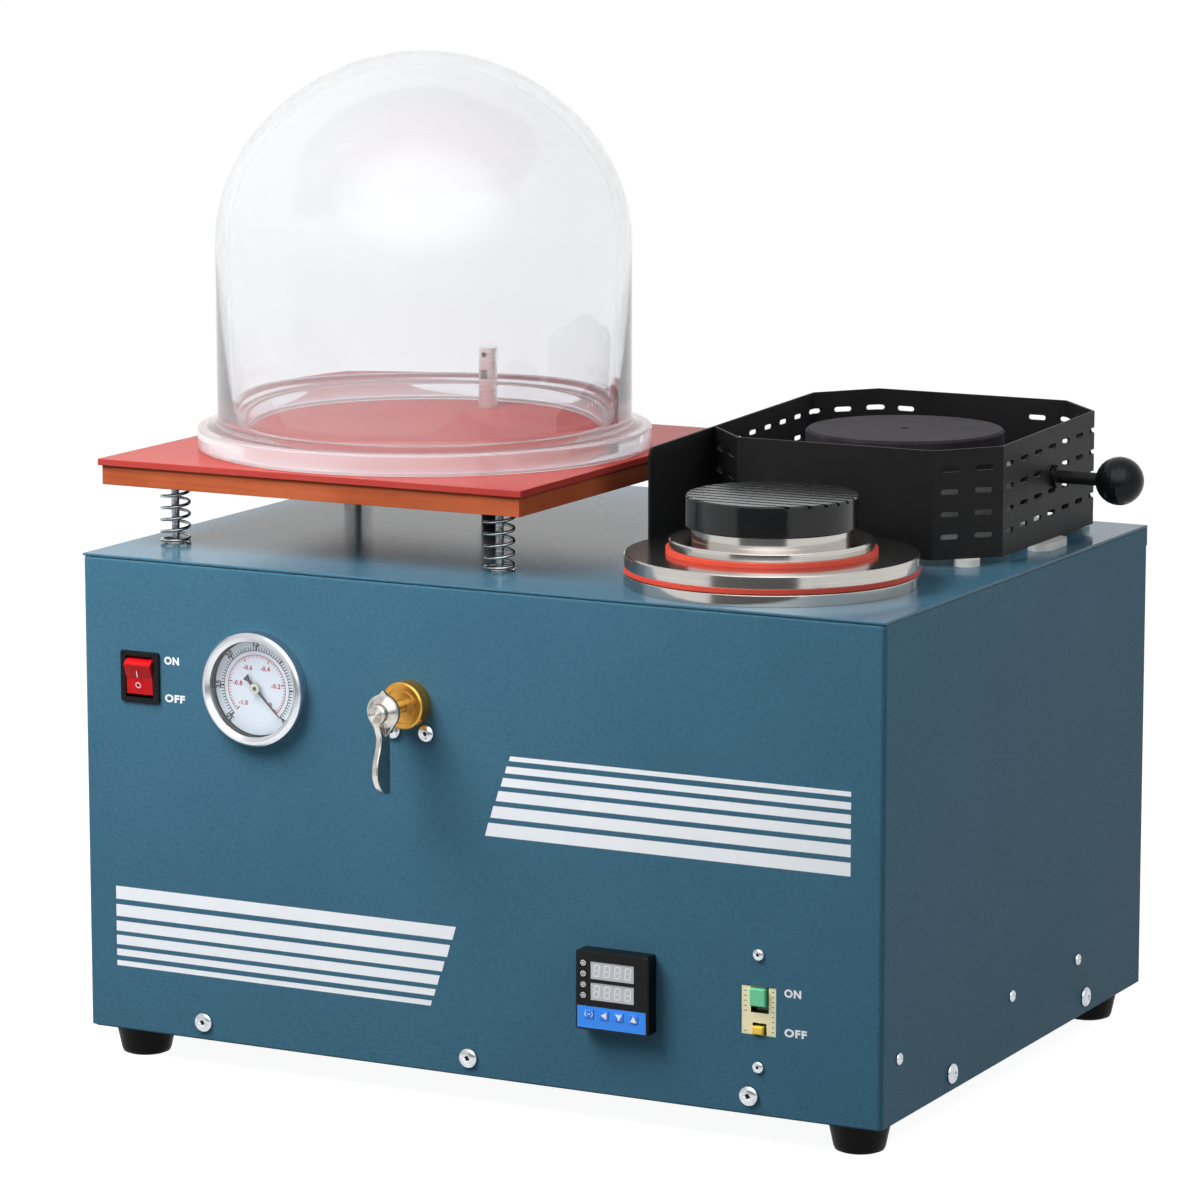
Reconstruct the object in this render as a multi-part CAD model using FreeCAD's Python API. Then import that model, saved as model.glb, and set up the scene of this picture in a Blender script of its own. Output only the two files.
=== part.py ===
import FreeCAD, Part
import math
import os

# Jewelry vacuum casting machine: a sheet steel cabinet that carries a spring-borne investing table with a
# bell jar, a casting chamber with its adapter plates, and a small crucible furnace inside a slotted guard.
# Millimetres. x to the right, y to the back, z up from the bench. The cabinet is drawn about its own
# middle, and write_parts moves the whole machine so that the middle of its footprint is the origin.

V = FreeCAD.Vector
UP = V(0, 0, 1)
ORIGIN = V(0, 0, 0)

# ---- Driving dimensions: cabinet -----------------------------------------------------------------
CABINET_WIDTH = 540.0
CABINET_DEPTH = 400.0
CABINET_HEIGHT = 298.0
SHEET = 1.5
SHELL_FLANGE = 14.0
CORNER_BEND = 3.0
TOP_BEND = 2.0
TRAY_REVEAL = 1.0
TRAY_FLANGE = 24.0
PANEL_GAP = 0.2
LIP_DROP = 13.0
COVER_EDGE = 0.5
FOOT_HEIGHT = 19.0
FOOT_TOP_R = 19.0
FOOT_BOTTOM_R = 15.5
FOOT_EDGE_R = 3.0
FOOT_INSET = 25.0
FOOT_RECESS_R = 7.5
FOOT_RECESS_DEPTH = 10.0
FOOT_SCREW_R = 2.5
NUT_HEIGHT = 4.0

# ---- Curves drawn with short straight steps ------------------------------------------------------
SLOT_END_STEPS = 4
EDGE_STEPS = 2
ROLL_STEPS = 3
HOSE_SIDES = 8
JAR_KNUCKLE_STEPS = 5
JAR_CROWN_STEPS = 8
BALL_STEPS = 14

# ---- Fasteners -----------------------------------------------------------------------------------
HOLE_GAP = 0.1
SCREW_RIM = 0.45
SCREW_CROWN = 0.6
LARGE_HEAD_R = 6.2
LARGE_HEAD_HEIGHT = 3.2
LARGE_SHANK_R = 3.0
LARGE_SCREW_UP = 11.6
SMALL_HEAD_R = 3.7
SMALL_HEAD_HEIGHT = 2.3
SMALL_SHANK_R = 1.7
SMALL_SCREW_LENGTH = 8.0
FRONT_SCREWS_FROM_LEFT = (82.8, 268.8, 455.4)
SIDE_LARGE_SCREWS_FROM_FRONT = (99.9, 307.9)
SIDE_SMALL_SCREWS_FROM_FRONT = (23.3, 189.9, 294.4)
SIDE_SMALL_SCREW_UP = 38.5
REAR_SCREW_INSET = 7.0
REAR_SCREW_ROWS = 3

# ---- Investing table -----------------------------------------------------------------------------
TABLE_FROM_LEFT = 144.5
TABLE_FROM_FRONT = 172.0
BOARD_WIDTH = 292.0
BOARD_DEPTH = 292.0
BOARD_THICK = 12.0
PAD_OVERHANG = 2.0
PAD_THICK = 4.0
TABLE_LIFT = 39.0
TABLE_TRAVEL = 10.0
SPRING_INSET_X = 31.5
SPRING_INSET_Y = 33.5
SPRING_R = 8.75
SPRING_WIRE_R = 1.0
SPRING_TURNS = 6.5
SPRING_FLATS = 4
GUIDE_R = 2.5
GUIDE_FIT = 0.05
GUIDE_HEAD_R = 5.0
GUIDE_HEAD_HEIGHT = 3.0
BUSH_R = 5.0
BUSH_FLANGE_R = 8.0
BUSH_FLANGE = 2.0
BUSH_RELIEF = 0.5
NUT_ACROSS = 10.0
SEAT_GAP = 0.3
POST_R = 6.3
POST_EDGE = 1.0
POST_CAP = 2.0
POST_HEIGHT = 45.0
POST_BORE_R = 3.0
POST_FROM_AXIS_X = -5.0
POST_FROM_AXIS_Y = 94.0
POST_SLOT_WIDTH = 5.0
POST_SLOT_HEIGHT = 7.0
POST_SLOT_BELOW_TOP = 17.0
POST_SCREW_BELOW_TOP = 6.0
POST_SCREW_R = 2.0
POST_COLLAR_DROP = 20.0

# ---- Bell jar ------------------------------------------------------------------------------------
JAR_R = 130.0
JAR_WALL = 8.0
JAR_FLANGE_R = 142.5
JAR_FLANGE_THICK = 13.0
JAR_MOUTH_R = 115.0
JAR_SHOULDER_HEIGHT = 126.0
JAR_KNUCKLE_R = 110.0
JAR_CROWN_R = 135.0
JAR_ROOT_FILLET = 8.0
JAR_EDGE = 1.0

# ---- Casting chamber -----------------------------------------------------------------------------
CHAMBER_FROM_RIGHT = 117.0
CHAMBER_FROM_FRONT = 95.0
POT_BORE_R = 60.0
POT_WALL = 3.0
POT_CLEARANCE = 3.0
POT_DISH = 8.0
POT_HOLE_GAP = 1.0
CHAMBER_FLANGE_R = 88.0
CHAMBER_FLANGE_THICK = 7.5
GASKET_THICK = 3.0
LOWER_GASKET_BORE_R = 66.0
ADAPTER_R = 87.7
ADAPTER_THICK = 8.0
ADAPTER_BORE_R = 40.0
SPIGOT_GAP = 0.6
SPIGOT_DROP = 5.0
UPPER_GASKET_R = 63.0
UPPER_GASKET_BORE_R = 46.0
FLASK_RING_R = 61.0
FLASK_RING_THICK = 5.5
FLASK_NECK_R = 48.0
FLASK_NECK_HEIGHT = 7.0
FLASK_BORE_R = 32.0
COVER_R = 51.4
COVER_THICK = 19.0
COVER_GROOVES = 10
COVER_GROOVE_WIDTH = 2.6
COVER_GROOVE_DEPTH = 2.0
COVER_GROOVE_PITCH = 9.2
PLATE_EDGE = 0.8

# ---- Furnace and guard ---------------------------------------------------------------------------
FURNACE_FROM_RIGHT = 119.5
FURNACE_FROM_FRONT = 291.5
CAN_R = 66.0
CAN_WALL = 1.5
CAN_DROP = 128.0
CAN_RISE = 46.0
CAN_FLANGE_R = 82.0
CAN_MOUTH_R = 38.0
LINING_GAP = 0.3
LINING_FLOOR = 30.0
HEATER_WALL = 5.0
HEATER_GROOVES = 4
HEATER_GROOVE_DEPTH = 2.0
HEATER_GROOVE_WIDTH = 5.0
HEATER_GAP = 0.3
HEATER_TOP_GAP = 4.0
CRUCIBLE_TOP_R = 29.0
CRUCIBLE_BOTTOM_R = 24.0
CRUCIBLE_WALL = 5.0
CRUCIBLE_HEIGHT = 118.0
CRUCIBLE_LIP_R = 31.5
CRUCIBLE_LIP = 6.0
FURNACE_LID_R = 62.0
FURNACE_LID_THICK = 22.0
LID_PLUG_GAP = 1.5
LID_PLUG_DROP = 4.0
LID_HOLE_R = 2.5
LID_EDGE = 1.5
GUARD_WIDTH = 195.0
GUARD_DEPTH = 209.0
GUARD_CHAMFER = 32.0
GUARD_FOOT = 4.5
GUARD_FRONT_HEIGHT = 66.5
GUARD_BACK_HEIGHT = 72.5
GUARD_WING = 89.0
GUARD_WING_ROUND = 6.0
GUARD_SLOT_LENGTH = 12.0
GUARD_SLOT_WIDTH = 3.2
GUARD_SLOT_ROWS = 4
GUARD_SLOT_DOWN = 12.0
GUARD_ROW_PITCH = 13.7
GUARD_SLOT_COLUMNS = 12
GUARD_FIRST_COLUMN = 11.0
GUARD_COLUMN_PITCH = 22.0
GUARD_SLOT_REACH = 7.0
SPACER_R = 8.0
SPACER_BAR = 40.0
HANDLE_UP = 43.0
HANDLE_BACK = 8.5
HANDLE_R = 4.0
HANDLE_COLLAR_R = 7.0
HANDLE_COLLAR = 3.0
HANDLE_NUT = 5.0
BALL_R = 15.0
BALL_REACH = 43.0
BALL_SEAT = 12.0
BALL_FLAT = 1.0

# ---- Front panel fittings ------------------------------------------------------------------------
ROCKER_FROM_LEFT = 40.9
ROCKER_FROM_TOP = 73.7
ROCKER_BEZEL_WIDTH = 27.7
ROCKER_BEZEL_HEIGHT = 31.5
ROCKER_BEZEL_PROUD = 2.0
ROCKER_BODY_DEPTH = 25.0
ROCKER_CAVITY_WIDTH = 19.6
ROCKER_CAVITY_DEPTH = 11.0
ROCKER_WALL = 2.2
ROCKER_SWING_R = 12.3
ROCKER_RIDGE_DEG = 40.0
ROCKER_SKIRT_DEG = 10.0
ROCKER_TILT_DEG = 11.0
ROCKER_PIVOT_DEPTH = 4.5
ROCKER_GAP = 0.5
ROCKER_PIN_R = 1.5
ROCKER_PIN_LENGTH = 1.5
ROCKER_SADDLE = 6.4
GAUGE_FROM_LEFT = 124.0
GAUGE_FROM_TOP = 73.5
GAUGE_R = 35.25
GAUGE_PROUD = 9.0
GAUGE_CASE_R = 31.8
GAUGE_CASE_DEPTH = 28.0
GAUGE_CASE_WALL = 1.2
GAUGE_WINDOW_R = 29.4
GAUGE_DIAL_THICK = 1.0
GAUGE_LENS_THICK = 1.5
GAUGE_LENS_UP = 5.0
GAUGE_LENS_GRIP = 1.2
GAUGE_ROLL = 3.4
GAUGE_LIP = 0.5
GAUGE_STEM_R = 7.0
GAUGE_STEM_LENGTH = 22.0
GAUGE_MOVEMENT_R = 14.0
NEEDLE_LENGTH = 24.0
NEEDLE_TAIL = 9.5
NEEDLE_WIDTH = 1.8
NEEDLE_TAIL_WIDTH = 5.0
NEEDLE_THICK = 0.6
NEEDLE_UP = 1.6
NEEDLE_HUB_R = 2.6
NEEDLE_REST_DEG = -45.0
SPINDLE_R = 1.0
SPINDLE_FIT = 0.05
SPINDLE_DEPTH = 6.0
VALVE_FROM_LEFT = 230.0
VALVE_FROM_TOP = 73.5
COLLAR_R = 14.3
COLLAR_PROUD = 11.0
COLLAR_GROOVE_R = 10.5
COLLAR_GROOVE_WIDTH = 1.2
COLLAR_GROOVE_DEPTH = 0.9
STEM_R = 4.0
STEM_FIT = 0.05
HUB_NEAR = 30.0
HUB_THICK = 2.5
HUB_R = 10.6
HUB_TAIL = 15.0
HUB_TAIL_R = 4.0
HUB_NIB = 13.2
HUB_NIB_HALF = 2.6
HUB_CONE = 3.5
HUB_CONE_R = 9.6
BOSS_R = 5.8
BOSS_LENGTH = 8.0
BOSS_EDGE = 0.6
LEVER_WIDTH = 3.7
LEVER_LENGTH = 50.0
LEVER_FLARE = 4.0
LEVER_NECK_DOWN = 13.5
LEVER_NECK_DEPTH = 10.2
LEVER_BELLY_DOWN = 36.3
LEVER_BELLY_DEPTH = 15.3
LEVER_BEHIND = 2.8
LEVER_TIP = 1.5
LEVER_SOFT = 0.6
VALVE_BODY_WIDTH = 38.0
VALVE_BODY_DEPTH = 34.0
VALVE_BODY_ABOVE = 18.0
VALVE_BODY_BELOW = 26.0
PLUG_R = 8.0
PLUG_SEAT = 2.0
PLUG_LENGTH = 26.0
PORT_R = 5.9
PORT_LENGTH = 12.0
VALVE_SCREW_SPREAD = 22.9
VALVE_SCREW_DOWN = 17.3
VALVE_SCREW_HEAD_R = 5.4
VALVE_SCREW_HEAD = 3.4
VALVE_SCREW_SHANK_R = 2.0
VALVE_SCREW_LENGTH = 10.0
CONTROLLER_FROM_RIGHT = 169.3
CONTROLLER_UP = 65.4
CONTROLLER_SIZE = 48.0
CONTROLLER_PROUD = 11.0
CONTROLLER_BODY = 44.6
CONTROLLER_DEPTH = 80.0
CONTROLLER_EDGE = 1.2
DISPLAY_WIDTH = 28.7
DISPLAY_HEIGHT = 10.7
DISPLAY_LEFT = 10.1
DISPLAY_TOPS = (6.1, 18.8)
DISPLAY_POCKET = 1.5
STRIP_LEFT = 1.4
STRIP_TOP = 33.3
STRIP_WIDTH = 45.4
STRIP_HEIGHT = 13.3
STRIP_THICK = 0.8
KEY_WIDTH = 5.6
KEY_HEIGHT = 5.0
KEY_CENTRES = (9.4, 19.4, 29.2, 38.8)
KEY_TOP = 38.0
KEY_PROUD = 0.6
KEY_TRAVEL = 0.5
KEY_DEPTH = 2.5
KEY_GAP = 0.15
KEY_NAMES = ("key_set", "key_shift", "key_down", "key_up")
BREAKER_FROM_RIGHT = 78.7
BREAKER_UP = 63.0
BREAKER_WINDOW_WIDTH = 22.5
BREAKER_WINDOW_HEIGHT = 29.4
BREAKER_CASE_WIDTH = 36.0
BREAKER_CASE_HEIGHT = 78.0
BREAKER_CASE_DEPTH = 46.0
BREAKER_SCREW_UP = 33.6
BREAKER_NOSE_INSET = 0.3
RESET_POCKET = (-5.0, -1.2, 11.4, 15.4)
RESET_BUTTON = (-4.6, 3.2, 9.8, 10.4)
TEST_POCKET = (-3.9, -14.2, 8.9, 6.9)
TEST_BUTTON = (-3.4, -13.8, 6.8, 4.6)
POCKET_DEPTH = 8.0
RESET_PROUD = 3.0
TEST_PROUD = 2.0
BUTTON_TRAVEL = 1.6
BUTTON_DEPTH = 5.0

# ---- Rear panel ----------------------------------------------------------------------------------
INLET_FROM_RIGHT = 90.0
INLET_UP = 58.0
INLET_FLANGE_WIDTH = 50.0
INLET_FLANGE_HEIGHT = 24.0
INLET_FLANGE = 3.0
INLET_BODY_WIDTH = 27.6
INLET_BODY_HEIGHT = 20.0
INLET_BODY_DEPTH = 22.0
INLET_WALL = 2.0
INLET_CAVITY_DEPTH = 17.0
INLET_SCREW_SPREAD = 40.0
INLET_PIN_SPREAD = 7.0
INLET_PIN_RECESS = 7.0
VENT_LENGTH = 60.0
VENT_WIDTH = 4.0
VENT_PITCH = 14.0
VENT_COUNT = 7
VENT_GROUPS_FROM_LEFT = (130.0, 400.0)
VENT_UP = 190.0

# ---- Vacuum pump and hoses -----------------------------------------------------------------------
PUMP_FROM_LEFT = 110.0
PUMP_FROM_FRONT = 32.0
OIL_CASE_WIDTH = 112.0
OIL_CASE_DEPTH = 84.0
OIL_CASE_HEIGHT = 100.0
OIL_CASE_ROUND = 8.0
MOTOR_R = 50.0
MOTOR_LENGTH = 150.0
MOTOR_RIBS = 3
MOTOR_RIB_DEPTH = 3.0
COWL_LENGTH = 34.0
PUMP_FOOT_HEIGHT = 14.0
PUMP_FOOT_R = 11.0
PUMP_FOOT_INSET = 20.0
PUMP_RAIL_HEIGHT = 6.0
PUMP_RAIL_WIDTH = 120.0
PUMP_RAIL_MARGIN = 6.0
MANIFOLD_HEIGHT = 16.0
MANIFOLD_DEPTH = 24.0
MANIFOLD_LENGTH = 52.0
MANIFOLD_FROM_CASE_FRONT = 43.0
HOSE_R = 6.0
HOSE_BEND = 16.0
HOSE_RUN = 2.0
TABLE_HOSE_LENGTH = 74.0

# ---- Levels and places worked out from the sizes above -------------------------------------------
CABINET_BOTTOM = FOOT_HEIGHT
CABINET_TOP = CABINET_BOTTOM + CABINET_HEIGHT
COVER_UNDERSIDE = CABINET_TOP - SHEET
SHELL_BOTTOM = CABINET_BOTTOM + TRAY_REVEAL
TRAY_FLOOR = CABINET_BOTTOM + SHEET
LEFT = -CABINET_WIDTH / 2
RIGHT = CABINET_WIDTH / 2
FRONT = -CABINET_DEPTH / 2
BACK = CABINET_DEPTH / 2
BOARD_BOTTOM = CABINET_TOP + TABLE_LIFT
BOARD_TOP = BOARD_BOTTOM + BOARD_THICK
PAD_TOP = BOARD_TOP + PAD_THICK
TABLE = V(LEFT + TABLE_FROM_LEFT, FRONT + TABLE_FROM_FRONT, 0)
POST = TABLE + V(POST_FROM_AXIS_X, POST_FROM_AXIS_Y, 0)
CHAMBER = V(RIGHT - CHAMBER_FROM_RIGHT, FRONT + CHAMBER_FROM_FRONT, 0)
FURNACE = V(RIGHT - FURNACE_FROM_RIGHT, FRONT + FURNACE_FROM_FRONT, 0)
POT_UNDERSIDE = BREAKER_UP + BREAKER_CASE_HEIGHT / 2 + POT_CLEARANCE
POT_DEPTH = CABINET_HEIGHT - POT_UNDERSIDE - POT_WALL
FLANGE_TOP = CABINET_TOP + CHAMBER_FLANGE_THICK
ADAPTER_BOTTOM = FLANGE_TOP + GASKET_THICK
ADAPTER_TOP = ADAPTER_BOTTOM + ADAPTER_THICK
FLASK_RING_BOTTOM = ADAPTER_TOP + GASKET_THICK
FLASK_NECK_TOP = FLASK_RING_BOTTOM + FLASK_RING_THICK + FLASK_NECK_HEIGHT
CAN_TOP = CABINET_TOP + CAN_RISE
CAN_BOTTOM = CABINET_TOP - CAN_DROP
GUARD_BOTTOM = CABINET_TOP + GUARD_FOOT
SPRING_X = BOARD_WIDTH / 2 - SPRING_INSET_X
SPRING_Y = BOARD_DEPTH / 2 - SPRING_INSET_Y
SPRING_PLACES = [TABLE + V(sx * SPRING_X, sy * SPRING_Y, 0) for sx in (-1, 1) for sy in (-1, 1)]
FOOT_X = CABINET_WIDTH / 2 - FOOT_INSET
FOOT_Y = CABINET_DEPTH / 2 - FOOT_INSET
FOOT_PLACES = [V(sx * FOOT_X, sy * FOOT_Y, 0) for sx in (-1, 1) for sy in (-1, 1)]
ROCKER_UP = CABINET_HEIGHT - ROCKER_FROM_TOP
GAUGE_UP = CABINET_HEIGHT - GAUGE_FROM_TOP
VALVE_UP = CABINET_HEIGHT - VALVE_FROM_TOP
VALVE_BACK = SHEET + VALVE_BODY_DEPTH
PUMP_BASE = TRAY_FLOOR + PUMP_FOOT_HEIGHT + PUMP_RAIL_HEIGHT
OIL_CASE_TOP = PUMP_BASE + OIL_CASE_HEIGHT
MANIFOLD_TOP = OIL_CASE_TOP + MANIFOLD_HEIGHT


# ---- Shape helpers -------------------------------------------------------------------------------
def box(x0, y0, z0, x1, y1, z1):
    """A block between two corners."""
    return Part.makeBox(x1 - x0, y1 - y0, z1 - z0, V(x0, y0, z0))


def rod(centre, z0, z1, radius):
    """An upright cylinder on centre's x and y."""
    return Part.makeCylinder(radius, z1 - z0, V(centre.x, centre.y, z0), UP)


def ring(centre, z0, z1, outer, inner):
    """An upright washer."""
    return rod(centre, z0, z1, outer).cut(rod(centre, z0 - 1, z1 + 1, inner))


def face_of(edges):
    """A face bounded by edges that meet end to end."""
    return Part.Face(Part.Wire(Part.__sortEdges__(edges)))


def outline(points):
    """Straight edges round a closed row of points."""
    return chain(points + points[:1])


def revolved(edges):
    """The solid swept by a closed profile in the x-z plane, turned about the z axis."""
    shape = face_of(edges).revolve(ORIGIN, UP, 360)
    if shape.Volume < 0:
        shape.reverse()
    return shape


def swept(edges, way):
    """The solid swept by a closed profile along a straight way."""
    shape = face_of(edges).extrude(way)
    if shape.Volume < 0:
        shape.reverse()
    return shape


def chain(points):
    """Straight edges along an open row of points."""
    return [Part.LineSegment(a, b).toShape() for a, b in zip(points[:-1], points[1:])]


def bent_edge(start, first, second, end):
    """A smooth edge that leaves start towards first and reaches end from second."""
    curve = Part.BezierCurve()
    curve.setPoles([start, first, second, end])
    return curve.toShape()


def turned(profile, centre):
    """A solid of revolution about the upright axis through centre, from (radius, z) pairs."""
    return at(revolved(outline([V(r, 0, z) for r, z in profile])), centre.x, centre.y)


def arc_profile(centre_r, centre_z, radius, start, end, steps):
    """(r, z) pairs along an arc, from one angle to another in degrees."""
    pairs = []
    for i in range(steps + 1):
        angle = math.radians(start + (end - start) * i / steps)
        pairs.append((centre_r + radius * math.cos(angle), centre_z + radius * math.sin(angle)))
    return pairs


def rim_edges(shape, z, at_least):
    """Circular edges of shape at height z with a radius of at least at_least."""
    found = []
    for edge in shape.Edges:
        curve = edge.Curve
        if isinstance(curve, Part.Circle) and abs(curve.Center.z - z) < 1e-6 and curve.Radius >= at_least:
            found.append(edge)
    return found


def eased(shape, z, at_least, size):
    """shape with the round edges at height z chamfered."""
    return shape.makeChamfer(size, rim_edges(shape, z, at_least))


def upright_edges(shape):
    """Straight edges of shape that run along z."""
    found = []
    for edge in shape.Edges:
        if isinstance(edge.Curve, Part.Line) and abs(edge.tangentAt(edge.FirstParameter).z) > 0.999:
            found.append(edge)
    return found


def rounded_block(width, height, z0, z1, radius):
    """A block centred on the z axis with rounded upright edges."""
    block = box(-width / 2, -height / 2, z0, width / 2, height / 2, z1)
    return block.makeFillet(radius, upright_edges(block))


def obround(length, width, z0, z1):
    """A slot cutter along x, centred on the z axis, with round ends."""
    half = (length - width) / 2
    corners = arc_profile(half, 0, width / 2, -90, 90, SLOT_END_STEPS)
    corners += arc_profile(-half, 0, width / 2, 90, 270, SLOT_END_STEPS)
    return swept(outline([V(x, y, z0) for x, y in corners]), V(0, 0, z1 - z0))


def hexagon(across, z0, z1, hole):
    """A hexagon nut on the z axis."""
    corner = across / math.sqrt(3)
    angles = [math.radians(60 * i) for i in range(6)]
    corners = [V(corner * math.cos(a), corner * math.sin(a), z0) for a in angles]
    nut = swept(outline(corners), V(0, 0, z1 - z0))
    return nut.cut(rod(ORIGIN, z0 - 1, z1 + 1, hole))


def on_front(shape, from_left, up):
    """Place a fitting drawn with x right, y up and z out of the panel onto the front panel."""
    moved = shape.copy()
    moved.rotate(ORIGIN, V(1, 0, 0), 90)
    moved.translate(V(LEFT + from_left, FRONT, CABINET_BOTTOM + up))
    return moved


def on_rear(shape, from_right, up):
    """The same for the rear panel, as seen from behind the machine."""
    moved = shape.copy()
    moved.rotate(ORIGIN, V(1, 0, 0), 90)
    moved.rotate(ORIGIN, UP, 180)
    moved.translate(V(RIGHT - from_right, BACK, CABINET_BOTTOM + up))
    return moved


def on_side(shape, side, from_front, up):
    """Place a fitting drawn with z outward onto the right (side 1) or left (side -1) wall."""
    moved = shape.copy()
    moved.rotate(ORIGIN, V(1, 0, 0), 90)
    moved.rotate(ORIGIN, UP, 90 * side)
    moved.translate(V(side * RIGHT, FRONT + from_front, CABINET_BOTTOM + up))
    return moved


def at(shape, x, y, z=0.0):
    """A moved copy."""
    moved = shape.copy()
    moved.translate(V(x, y, z))
    return moved


def screw(head_r, head_height, shank_r, length):
    """A pan-head screw along z: the head stands on z = 0 and the shank goes down."""
    rim = head_height * SCREW_RIM
    profile = [(0, -length), (shank_r, -length), (shank_r, 0), (head_r, 0), (head_r, rim)]
    return turned(profile + [(head_r * SCREW_CROWN, head_height), (0, head_height)], ORIGIN)


def hose(points):
    """A hose along straight runs joined by tangent arcs."""
    edges = []
    start = points[0]
    for before, corner, after in zip(points[:-2], points[1:-1], points[2:]):
        into = (corner - before).normalize()
        out = (after - corner).normalize()
        reach = HOSE_BEND * math.tan(into.getAngle(out) / 2)
        lift = HOSE_BEND / math.cos(into.getAngle(out) / 2) - HOSE_BEND
        first = corner - into * reach
        last = corner + out * reach
        edges.append(Part.LineSegment(start, first).toShape())
        edges.append(Part.Arc(first, corner + (out - into).normalize() * lift, last).toShape())
        start = last
    edges.append(Part.LineSegment(start, points[-1]).toShape())
    along = (points[1] - points[0]).normalize()
    across = along.cross(V(along.y, along.z, along.x)).normalize()
    other = along.cross(across)
    pairs = arc_profile(0, 0, HOSE_R, 0, 360, HOSE_SIDES)
    section = Part.Wire(chain([points[0] + across * x + other * y for x, y in pairs]))
    return Part.Wire(edges).makePipeShell([section], True, False)


# ---- Cabinet -------------------------------------------------------------------------------------
def front_cutters():
    """Everything that goes through the front panel, in the panel's own frame."""
    z0 = -SHEET - 1
    gap = PANEL_GAP
    rocker_width = ROCKER_CAVITY_WIDTH + 2 * ROCKER_WALL
    rocker = rounded_block(rocker_width + 2 * gap, rocker_body_height() + 2 * gap, z0, 1, 1.0)
    gauge = rod(ORIGIN, z0, 1, GAUGE_CASE_R + gap)
    stem = rod(ORIGIN, z0, 1, STEM_R + 2.0)
    body = CONTROLLER_BODY / 2 + gap
    controller = box(-body, -body, z0, body, body, 1)
    half_w = BREAKER_WINDOW_WIDTH / 2
    half_h = BREAKER_WINDOW_HEIGHT / 2
    window = box(-half_w, -half_h, z0, half_w, half_h, 1)
    cutters = [on_front(rocker, ROCKER_FROM_LEFT, ROCKER_UP), on_front(gauge, GAUGE_FROM_LEFT, GAUGE_UP)]
    cutters.append(on_front(stem, VALVE_FROM_LEFT, VALVE_UP))
    cutters.append(on_front(controller, CABINET_WIDTH - CONTROLLER_FROM_RIGHT, CONTROLLER_UP))
    cutters.append(on_front(window, CABINET_WIDTH - BREAKER_FROM_RIGHT, BREAKER_UP))
    large = rod(ORIGIN, z0, 1, LARGE_SHANK_R + HOLE_GAP)
    cutters += [on_front(large, x, LARGE_SCREW_UP) for x in FRONT_SCREWS_FROM_LEFT]
    valve_hole = rod(ORIGIN, z0, 1, VALVE_SCREW_SHANK_R + HOLE_GAP)
    for side in (-1, 1):
        x = VALVE_FROM_LEFT + side * VALVE_SCREW_SPREAD / 2
        cutters.append(on_front(valve_hole, x, VALVE_UP - VALVE_SCREW_DOWN))
        small = rod(ORIGIN, z0, 1, SMALL_SHANK_R + HOLE_GAP)
        up = BREAKER_UP + side * BREAKER_SCREW_UP
        cutters.append(on_front(small, CABINET_WIDTH - BREAKER_FROM_RIGHT, up))
    return cutters


def side_holes():
    """Screw holes through both side walls."""
    z0 = -SHEET - 1
    large = rod(ORIGIN, z0, 1, LARGE_SHANK_R + HOLE_GAP)
    small = rod(ORIGIN, z0, 1, SMALL_SHANK_R + HOLE_GAP)
    cutters = []
    for side in (-1, 1):
        cutters += [on_side(large, side, y, LARGE_SCREW_UP) for y in SIDE_LARGE_SCREWS_FROM_FRONT]
        cutters += [on_side(small, side, y, SIDE_SMALL_SCREW_UP) for y in SIDE_SMALL_SCREWS_FROM_FRONT]
    return cutters


def cabinet_shell():
    """Front and both sides bent from one sheet, with flanges for the cover and the rear panel."""
    back = BACK - SHEET
    body = box(LEFT, FRONT, SHELL_BOTTOM, RIGHT, back, COVER_UNDERSIDE)
    corners = [e for e in upright_edges(body) if e.CenterOfMass.y < 0]
    body = body.makeFillet(CORNER_BEND, corners)
    top = [e for e in body.Edges if abs(e.CenterOfMass.z - COVER_UNDERSIDE) < 1e-6]
    body = body.makeFillet(TOP_BEND, [e for e in top if e.CenterOfMass.y < back - 1e-6])
    ceiling = COVER_UNDERSIDE - SHEET
    room = box(LEFT + SHEET, FRONT + SHEET, SHELL_BOTTOM - 1, RIGHT - SHEET, back - SHEET, ceiling)
    inner = [e for e in upright_edges(room) if e.CenterOfMass.y < 0]
    room = room.makeFillet(CORNER_BEND - SHEET, inner)
    in_x = CABINET_WIDTH / 2 - SHELL_FLANGE
    mouth = box(-in_x, FRONT + SHELL_FLANGE, ceiling - 1, in_x, BACK, COVER_UNDERSIDE + 1)
    rear = box(-in_x, back - SHEET - 1, SHELL_BOTTOM - 1, in_x, BACK, COVER_UNDERSIDE + 1)
    relief = BUSH_FLANGE_R + BUSH_RELIEF
    reliefs = [rod(place, ceiling - 1, COVER_UNDERSIDE + 1, relief) for place in SPRING_PLACES]
    shell = body.cut([room, mouth, rear] + reliefs)
    return shell.cut(front_cutters() + side_holes() + rear_screw_holes(2 * SHEET + 1))


def rear_screw_places():
    """Small screws down both sides of the rear panel, as (from_right, up)."""
    low = TRAY_FLANGE + REAR_SCREW_INSET
    high = CABINET_HEIGHT - LIP_DROP - REAR_SCREW_INSET - SMALL_HEAD_R
    step = (high - low) / (REAR_SCREW_ROWS - 1)
    sides = (REAR_SCREW_INSET, CABINET_WIDTH - REAR_SCREW_INSET)
    return [(x, low + i * step) for x in sides for i in range(REAR_SCREW_ROWS)]


def rear_screw_holes(depth):
    """Holes for the rear screws, down to a depth."""
    hole = rod(ORIGIN, -depth, 1, SMALL_SHANK_R + HOLE_GAP)
    return [on_rear(hole, x, up) for x, up in rear_screw_places()]


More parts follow.
